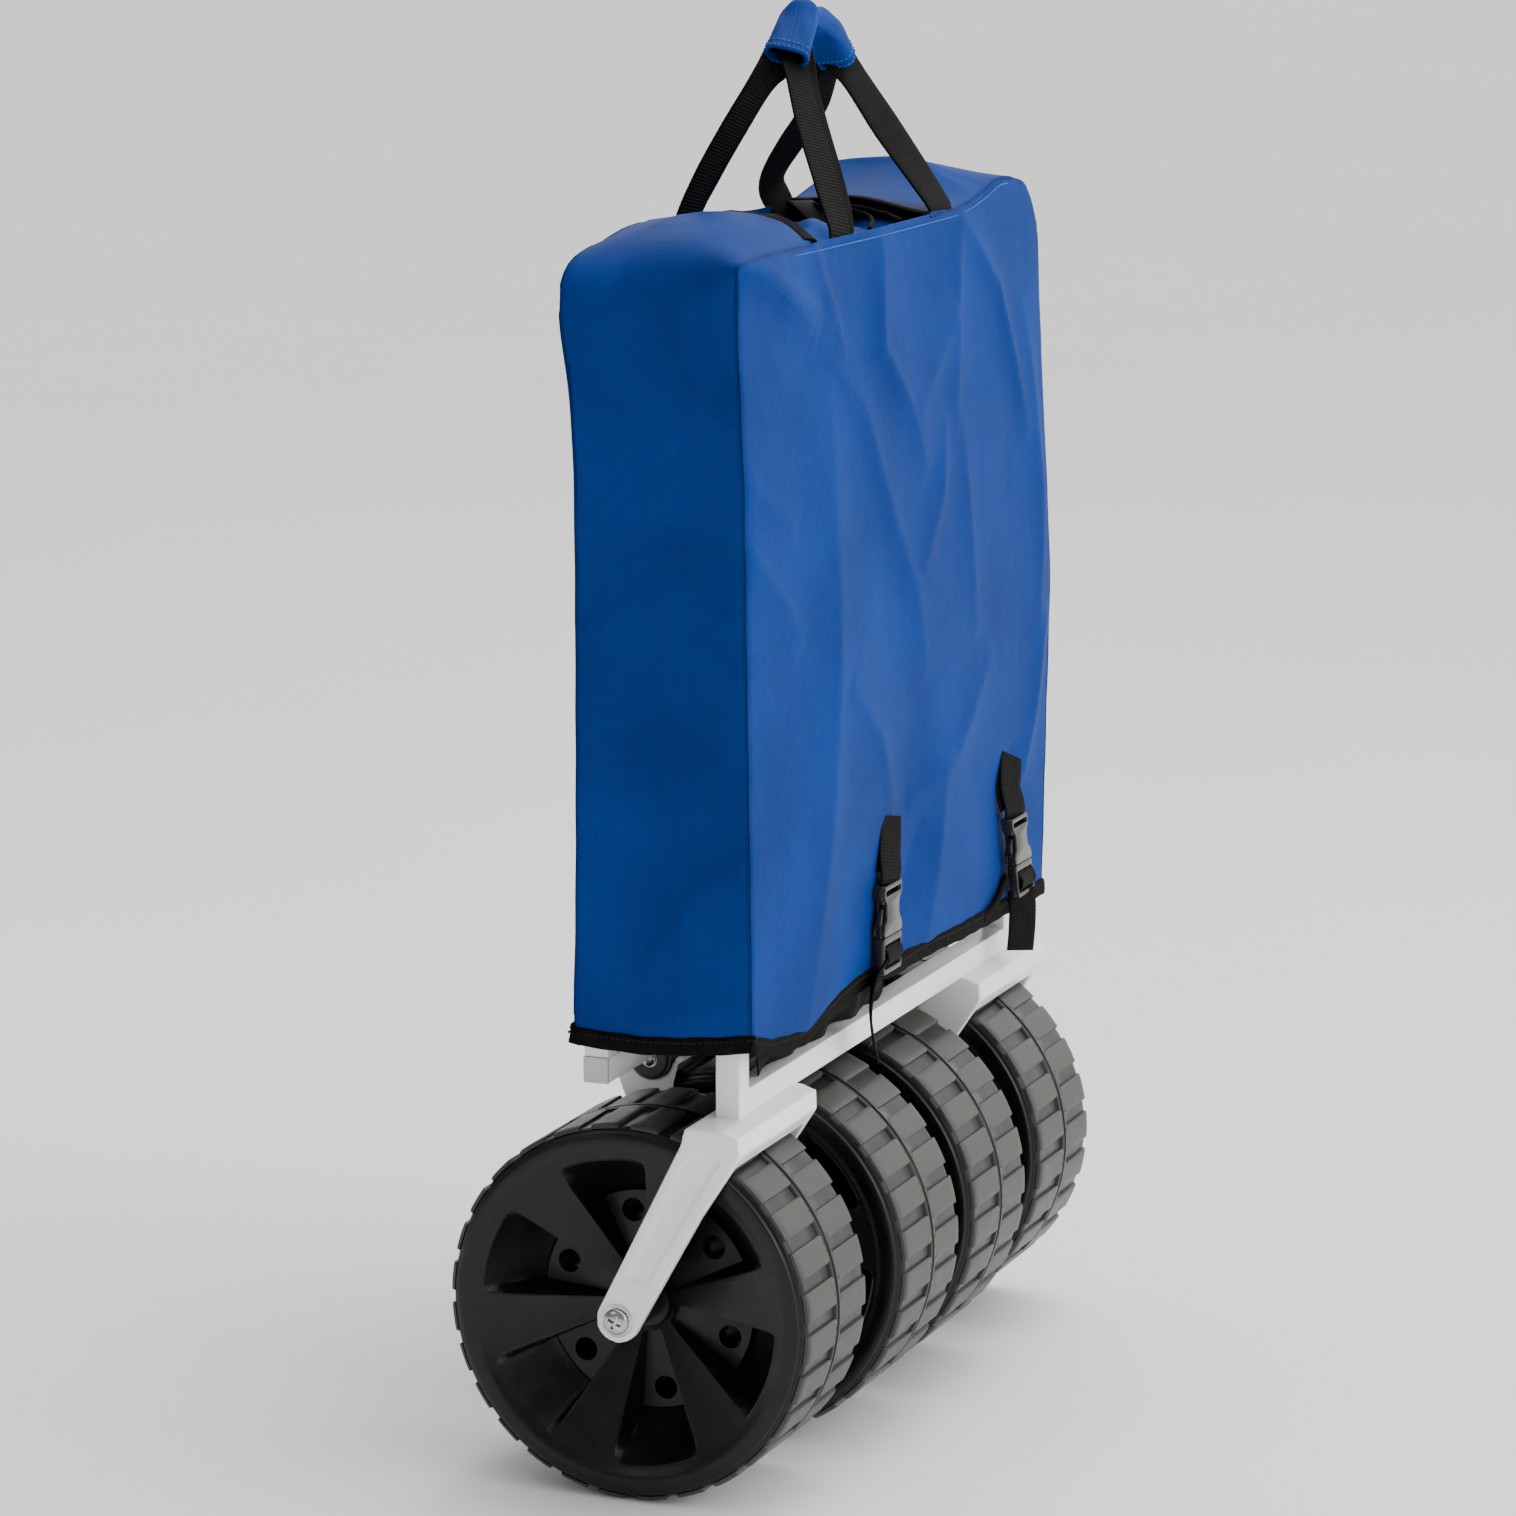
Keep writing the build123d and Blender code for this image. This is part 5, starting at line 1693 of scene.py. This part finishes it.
def moulded_plate(outline: np.ndarray, low: float, high: float, bevel: float, place: Callable,
                  holes: Sequence[np.ndarray] = ()) -> tuple[list, list]:
    """A plate with rolled edges and through windows.

    Args:
        outline: counter-clockwise outer outline.
        low: where the back face lies along the third axis.
        high: where the front face lies.
        bevel: edge radius.
        place: maps (a, b, depth) to a point.
        holes: counter-clockwise window outlines.

    Returns:
        Vertices and faces; caps are triangulated.
    """
    bm = bmesh.new()

    def loops(shape: np.ndarray, inward: float) -> list:
        """Rings of one outline, one for each depth.

        Args:
            shape: outline or hole.
            inward: 1 for the outline, -1 for a hole.

        Returns:
            The ring of vertices at each depth.
        """
        stack = []
        for amount, depth in ((bevel, low), (bevel * 0.3, low + bevel * 0.3), (0, low + bevel), (0, high - bevel),
                              (bevel * 0.3, high - bevel * 0.3), (bevel, high)):
            ring = inset(shape, amount * inward)
            stack.append([bm.verts.new(place(a, b, depth)) for a, b in ring])
        for lower, upper in zip(stack, stack[1:]):
            n = len(lower)
            for i in range(n):
                quad = (lower[i], lower[(i + 1) % n], upper[(i + 1) % n], upper[i])
                bm.faces.new(quad if inward > 0 else quad[::-1])
        return stack

    stacks = [loops(outline, 1.0)] + [loops(hole, -1.0) for hole in holes]
    for level in (0, -1):
        edges = []
        for stack in stacks:
            ring = stack[level]
            edges += [bm.edges.get((ring[i], ring[(i + 1) % len(ring)])) for i in range(len(ring))]
        bmesh.ops.triangle_fill(bm, use_beauty=True, edges=edges)
    bmesh.ops.recalc_face_normals(bm, faces=bm.faces)
    verts = [tuple(v.co) for v in bm.verts]
    for i, v in enumerate(bm.verts):
        v.index = i
    faces = [[v.index for v in f.verts] for f in bm.faces]
    bm.free()
    return verts, faces


@dataclass
class Buckle:
    """Side-release buckle with its webbing; the socket stays on the cover, the plug comes away."""

    label: str
    y: float
    webbing: tuple
    tail: tuple
    tail_width: float
    tail_across: Point
    lean: float = 0.0
    front_x: float = 88.8
    back_x: float = 80.4
    top: float = 350.0
    half: float = 16.0

    def place(self, a: float, b: float, depth: float) -> tuple[float, float, float]:
        """Buckle coordinates to the cart's: a across, b up, depth along X."""
        return (depth, self.y + a + self.lean * (b - self.top), b)

    def plate(self, name: str, outline: Sequence, low: float, high: float, bevel: float,
              holes: Sequence = (), radius: float = 2.5) -> bpy.types.Object:
        """A moulded plate in the buckle's plane.

        Args:
            name: the plate's name.
            outline: corners (across, up).
            low: back face.
            high: front face.
            bevel: edge bevel.
            holes: corners of each slot.
            radius: corner radius.

        Returns:
            The plate.
        """
        verts, faces = moulded_plate(rounded(outline, radius), low, high, bevel, self.place,
                                     [rounded(h, 0.8, 2) for h in holes])
        return new_object(name, np.array(verts), faces, ACETAL, None, 40)

    @staticmethod
    def slot(width: float, low: float, high: float) -> list:
        """Rectangle for a webbing slot."""
        return [(-width / 2, low), (width / 2, low), (width / 2, high), (-width / 2, high)]

    def socket(self) -> bpy.types.Object:
        """Hourglass sleeve: two skins over a core, a webbing bar on top.

        Returns:
            The socket.
        """
        h, t = self.half, self.top
        waist = [(-h, t - 33), (h, t - 33), (h, t - 27), (h - 5, t - 22), (h - 5, t - 12), (h - 0.5, t - 8),
                 (h - 0.5, t),
                 (-h + 0.5, t), (-h + 0.5, t - 8), (-h + 5, t - 12), (-h + 5, t - 22), (-h, t - 27)]
        slot = self.slot(2 * h - 6, t - 6.5, t - 3.2)
        skin_f = self.plate("front_skin", waist, self.front_x - 2.6, self.front_x, 0.8, [slot])
        skin_b = self.plate("back_skin", waist, self.back_x, self.back_x + 2.2, 0.6, [slot])
        core = [(-h + 1.5, t - 12), (h - 1.5, t - 12), (h - 1.5, t - 8), (-h + 1.5, t - 8)]
        core_p = self.plate("core", core, self.back_x + 1.5, self.front_x - 1.5, 0.4)
        ribs = []
        for at in (-6.5, 6.5):
            rib = [(at - 1, t - 33), (at + 1, t - 33), (at + 1, t - 10), (at - 1, t - 10)]
            ribs.append(self.plate("rib", rib, self.back_x + 1.5, self.front_x - 1.5, 0.3, (), 0.5))
        inside = (self.back_x + 1.5, self.front_x - 1.5)
        bar = []
        for side in (-1, 1):
            at = side * (h - 2)
            cheek = [(at - 1.6, t - 9), (at + 1.6, t - 9), (at + 1.6, t), (at - 1.6, t)]
            bar.append(self.plate("cheek", cheek, *inside, 0.4, (), 0.8))
        return joined(f"buckle_socket_{self.label}", [skin_f, skin_b, core_p, *ribs, *bar])

    def plug(self) -> bpy.types.Object:
        """Base with the webbing slot, two sprung squeeze arms and a centre tongue.

        Returns:
            The plug.
        """
        h, z = self.half, self.top - 33.5
        base = [(-h, z - 24), (h, z - 24), (h, z - 1), (h - 2, z), (-h + 2, z), (-h, z - 1)]
        slots = [self.slot(2 * h - 4.6, z - 20.5, z - 14.5), self.slot(2 * h - 4.6, z - 10.5, z - 5.0)]
        body = self.plate("base", base, self.back_x + 1.2, self.front_x - 0.3, 1.0, slots)
        arms = []
        mid = (self.back_x + self.front_x) / 2
        for s in (-1, 1):
            arm = [(s * (h - 4.5), z - 3), (s * (h - 1.5), z - 3), (s * (h - 1.2), z + 6),
                   (s * (h + 0.2), z + 9), (s * (h - 0.4), z + 14), (s * (h - 3.5), z + 19),
                   (s * (h - 5.2), z + 19), (s * (h - 4.2), z + 8)]
            arms.append(self.plate("arm", arm if s > 0 else arm[::-1], mid - 1.7, mid + 1.7, 0.6, (), 1.0))
        leaf = [(-2, z - 3), (2, z - 3), (2, z + 17), (-2, z + 17)]
        tongue = self.plate("tongue", leaf, mid - 1.6, mid + 1.6, 0.4, (), 0.8)
        return joined(f"buckle_plug_body_{self.label}", [body, *arms, tongue])

    def strap(self, name: str, points: Sequence[Point], width: float, start_across: Point = (0, 1, 0),
              end_across: Point = (0, 1, 0)) -> bpy.types.Object:
        """Buckle webbing along a path.

        Args:
            name: the webbing's name.
            points: its path.
            width: width in mm.
            start_across: direction of its width at the start.
            end_across: and at the end.

        Returns:
            The webbing.
        """
        path = smooth_path(points, 3.0)
        t = np.linspace(0, 1, len(path))[:, None]
        across = np.asarray(start_across, float) * (1 - t) + np.asarray(end_across, float) * t
        verts, faces, uv = sweep(path, across, band_section(width, 1.7), False)
        return clean(new_object(name, verts, faces, WEBBING, uv, 70))

    def build(self) -> None:
        """Make both halves and their webbing."""
        socket, plug = self.socket(), self.plug()
        y, top, mid = self.y, self.top, (self.front_x + self.back_x) / 2
        sewn = self.strap(f"socket_webbing_{self.label}", self.webbing, 25.0, (0.20, 0.98, 0), (0.12, 0.99, 0))
        behind = [(p[0] - 1.9 - 0.5 * i, p[1] - 1.0, p[2] - 1.0) for i, p in enumerate(self.webbing[:4])]
        under = self.strap(f"socket_webbing_back_{self.label}", behind, 25.0, (0.20, 0.98, 0), (0.12, 0.99, 0))
        z = top - 33.5
        foot = y + self.lean * (z - 14 - top)
        loop = self.strap(f"plug_webbing_{self.label}",
                          [(mid - 3.0, foot - self.lean * 6, z - 19.4),
                           (mid + 2.2, foot - self.lean * 5, z - 18.6),
                           (mid + 4.9, foot - self.lean * 2, z - 15.5), (mid + 5.3, foot, z - 12.5),
                           (mid + 4.7, foot + self.lean * 2, z - 9.5), (mid + 1.8, foot + self.lean * 5, z - 6.6),
                           (mid - 3.0, foot + self.lean * 6, z - 6.2)], 26.4)
        tail = self.strap(f"plug_tail_{self.label}", self.tail, self.tail_width, self.tail_across,
                          self.tail_across)
        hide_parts(f"buckle_plug_{self.label}")
        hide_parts(f"buckle_tail_{self.label}")
        if self.label == "middle":
            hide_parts("buckle_sockets")
            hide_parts("buckle_webbing")
        for piece in (socket, sewn, under):
            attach(piece, "storage_cover")
        for piece in (plug, loop, tail):
            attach(piece, f"plug_{self.label}")
        LOG.info("buckle %s made", self.label)


# ------------------------------------------------------------------ wagon tub
@dataclass
class WagonTub:
    """The cart's cloth tub, pleated between the two frames."""

    x: tuple = (-4.0, 46.0)
    y: tuple = (-198.0, 198.0)
    z: tuple = (302.0, 722.0)
    pleats: int = 9
    pleat_depth: float = 7.0

    def zigzag(self, n: int) -> np.ndarray:
        """Soft zigzag of the pleats over n samples."""
        t = np.linspace(0, self.pleats, n)
        return np.sin(t * math.pi) * self.pleat_depth / 2

    def build(self) -> None:
        """Make floor and side walls as one pleated trough with end walls."""
        n, m = 73, 44
        x = np.linspace(*self.x, n)
        ripple = self.zigzag(n)
        verts, faces = [], []
        around = ([(self.y[0], z) for z in np.linspace(self.z[1], self.z[0] + 12, m)]
                  + [(y, self.z[0]) for y in np.linspace(self.y[0] + 12, self.y[1] - 12, m)]
                  + [(self.y[1], z) for z in np.linspace(self.z[0] + 12, self.z[1], m)])
        count = len(around)
        for y, z in around:
            for i in range(n):
                if y <= self.y[0]:
                    verts.append((x[i], y + 4 + ripple[i], z))
                elif y >= self.y[1]:
                    verts.append((x[i], y - 4 - ripple[i], z))
                else:
                    verts.append((x[i], y, z + 4 + ripple[i]))
        faces = grid_faces(count, n)
        walls = new_object("tub_trough", np.array(verts), faces, LINING,
                           np.stack([np.tile(np.arange(n) * 0.006, count),
                                     np.repeat(np.arange(count) * 0.009, n)], 1))
        ends = []
        for k, px in enumerate(self.x):
            heights = np.linspace(self.z[0] + 6, self.z[1], 30)
            places = np.linspace(self.y[0] + 4, self.y[1] - 4, 30)
            p = np.array([(px + 1.2 * math.sin(y / 31 + z / 47), y, z) for z in heights for y in places])
            uv = p[:, 1:] * MM
            ends.append(new_object(f"tub_end{k}", p, grid_faces(30, 30), LINING, uv))
        parts = [walls, *ends]
        for part in parts:
            modify(part, "SOLIDIFY", thickness=1.4 * MM, offset=0.0)
            settle(part)
        tub = joined("pleated_tub", parts)
        clean(tub)
        shade(tub, 60)
        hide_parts("wagon_tub")
        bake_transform(tub)
        LOG.info("tub pleated, %d folds", self.pleats)


@dataclass
class FootFlap:
    """Black cloth of the folded tub, crumpled between the rear rail and the cover's hem."""

    y: tuple = (-206.0, 4.0)
    z: tuple = (262.6, 296.0)

    def build(self) -> None:
        """Make the crumpled sheet and hang it on the rear frame."""
        gy, gz = np.meshgrid(np.linspace(*self.y, 120), np.linspace(*self.z, 22))
        t = (gz - self.z[0]) / (self.z[1] - self.z[0])
        bulge = 57.5 + 4.5 * np.sin(t * math.pi) + 2.6 * np.sin(gy / 9.0 + 3 * t) * (1 - 0.5 * t)
        bulge = bulge + 1.7 * np.sin(gy / 4.7 - 5 * t) * np.sin(t * math.pi)
        drape = gz + 1.5 * np.sin(gy / 15.0) * (1 - t)
        points = np.stack([bulge, gy, np.maximum(drape, self.z[0])], -1).reshape(-1, 3)
        uv = np.stack([gy, gz], -1).reshape(-1, 2) * MM
        sheet = new_object("tub_foot_flap", points, grid_faces(22, 120), DARK_CLOTH, uv)
        modify(sheet, "SOLIDIFY", thickness=1.0 * MM, offset=-1.0)
        settle(sheet)
        shade(sheet, 70)
        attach(sheet, "rear_frame")
        LOG.info("foot flap crumpled")


# ------------------------------------------------------------------ studio
class Studio:
    """Pale floor, soft lamps and the camera."""

    def floor(self) -> None:
        """A wide pale floor under the cart."""
        side = 34000
        obj = new_object("studio_floor", np.array([(-side, -side, -0.5), (side, -side, -0.5), (side, side, -0.5),
                                                   (-side, side, -0.5)]), [(0, 1, 2, 3)], FLOOR)

    def lamp(self, name: str, at: Point, aim: Point, size: float, power: float, tint: str = "#FFFFFF") -> None:
        """A square soft box at a place, pointed at another.

        Args:
            name: the lamp's name.
            at: place in metres.
            aim: point it faces.
            size: side in metres.
            power: watts.
            tint: colour.
        """
        data = bpy.data.lights.new(name, "AREA")
        data.size, data.energy = size, power
        data.color = linear(tint)[:3]
        obj = bpy.data.objects.new(name, data)
        bpy.context.scene.collection.objects.link(obj)
        obj.location = at
        obj.rotation_mode = "QUATERNION"
        obj.rotation_quaternion = (Vector(aim) - Vector(at)).to_track_quat("-Z", "Y")

    def sky(self, dim: float, bright: float, toward: Point) -> None:
        """White surround, bright on one side like a wall of soft boxes.

        Args:
            dim: strength on the shaded side.
            bright: strength on the lit side.
            toward: direction of the lit side.
        """
        world = bpy.data.worlds.new("white_surround")
        world.use_nodes = True
        tree = world.node_tree
        back = tree.nodes["Background"]
        back.inputs["Color"].default_value = linear("#FFFFFF")
        way = add_node(tree, "ShaderNodeTexCoord").outputs["Generated"]
        facing = add_node(tree, "ShaderNodeVectorMath", {0: way, 1: tuple(Vector(toward).normalized())},
                          operation="DOT_PRODUCT")
        level = add_node(tree, "ShaderNodeMapRange", {"Value": facing.outputs["Value"], "From Min": -0.25,
                                                      "From Max": 0.75, "To Min": dim, "To Max": bright},
                         interpolation_type="SMOOTHSTEP")
        tree.links.new(level.outputs[0], back.inputs["Strength"])
        bpy.context.scene.world = world

    def camera(self) -> None:
        """Long lens, a little above the cart, seen from its left rear corner."""
        data = bpy.data.cameras.new("camera")
        data.sensor_width = 36.0
        data.lens = 138.9
        data.shift_x, data.shift_y = 0.0160, 0.0013
        data.clip_start, data.clip_end = 0.1, 120.0
        obj = bpy.data.objects.new("camera", data)
        bpy.context.scene.collection.objects.link(obj)
        back = Vector((0.3689, -0.9080, 0.1988)).normalized()
        right = Vector((0.9265, 0.3764, 0.0)).normalized()
        right = (right - back * right.dot(back)).normalized()
        up = back.cross(right)
        turn = Matrix((right, up, back)).transposed()
        obj.matrix_world = Matrix.Translation((1.35679, -3.43834, 1.16755)) @ turn.to_4x4()
        bpy.context.scene.camera = obj

    def build(self) -> None:
        """Set up the whole studio."""
        self.camera()
        self.floor()
        self.sky(0.24, 1.9, (0.62, 0.72, 0.36))
        self.lamp("key_from_right", (3.0, 0.2, 1.6), (0, 0, 0.40), 1.4, 24)
        self.lamp("top_fill", (0.3, 0.9, 3.2), (0, 0, 0.5), 2.0, 46)
        self.lamp("front_left_soft", (-1.9, -3.2, 1.9), (0, -0.2, 0.15), 1.1, 7)
        self.lamp("front_right_soft", (2.3, -1.9, 0.9), (0, -0.3, 0.12), 0.8, 9)


def main() -> None:
    """Build the cart's looks in order; the builders log their counts."""
    logging.basicConfig(level=logging.INFO, format="%(message)s")
    Studio().build()
    for name, x, y in (("rear_left_wheel", -3.5, -214.0), ("rear_right_wheel", -3.5, 214.0),
                       ("front_left_wheel", 3.5, -64.5), ("front_right_wheel", 3.5, 64.5)):
        Wheel(name, x, y).build()
    FrameSteel().build()
    WagonTub().build()
    FootFlap().build()
    StorageCover().build()
    CarryStraps().build()
    Buckle("middle", -47.5, ((81.7, -37.0, 395), (83.0, -39.5, 384), (84.4, -43.5, 371), (86.2, -46.0, 361),
                             (85.6, -47, 353.5), (83.2, -47, 350.6)),
           ((83.5, -56, 301), (83.6, -68, 293), (84.2, -76, 276), (84.6, -73, 260), (85.0, -67, 246)), 20.0,
           (-0.37, 0.91, 0), 0.0, top=354.0).build()
    Buckle("right", 193.0, ((81.6, 194.0, 391), (83.2, 189.0, 381), (84.6, 184.5, 371), (86.4, 187.0, 360),
                            (85.6, 192.0, 350), (83.2, 193, 346.6)),
           ((84.5, 209, 296), (86.2, 208, 284), (86.8, 205, 268), (86.4, 203, 255)), 25.0, (0.43, 0.90, 0),
           -0.31).build()


if __name__ == "__main__":
    main()
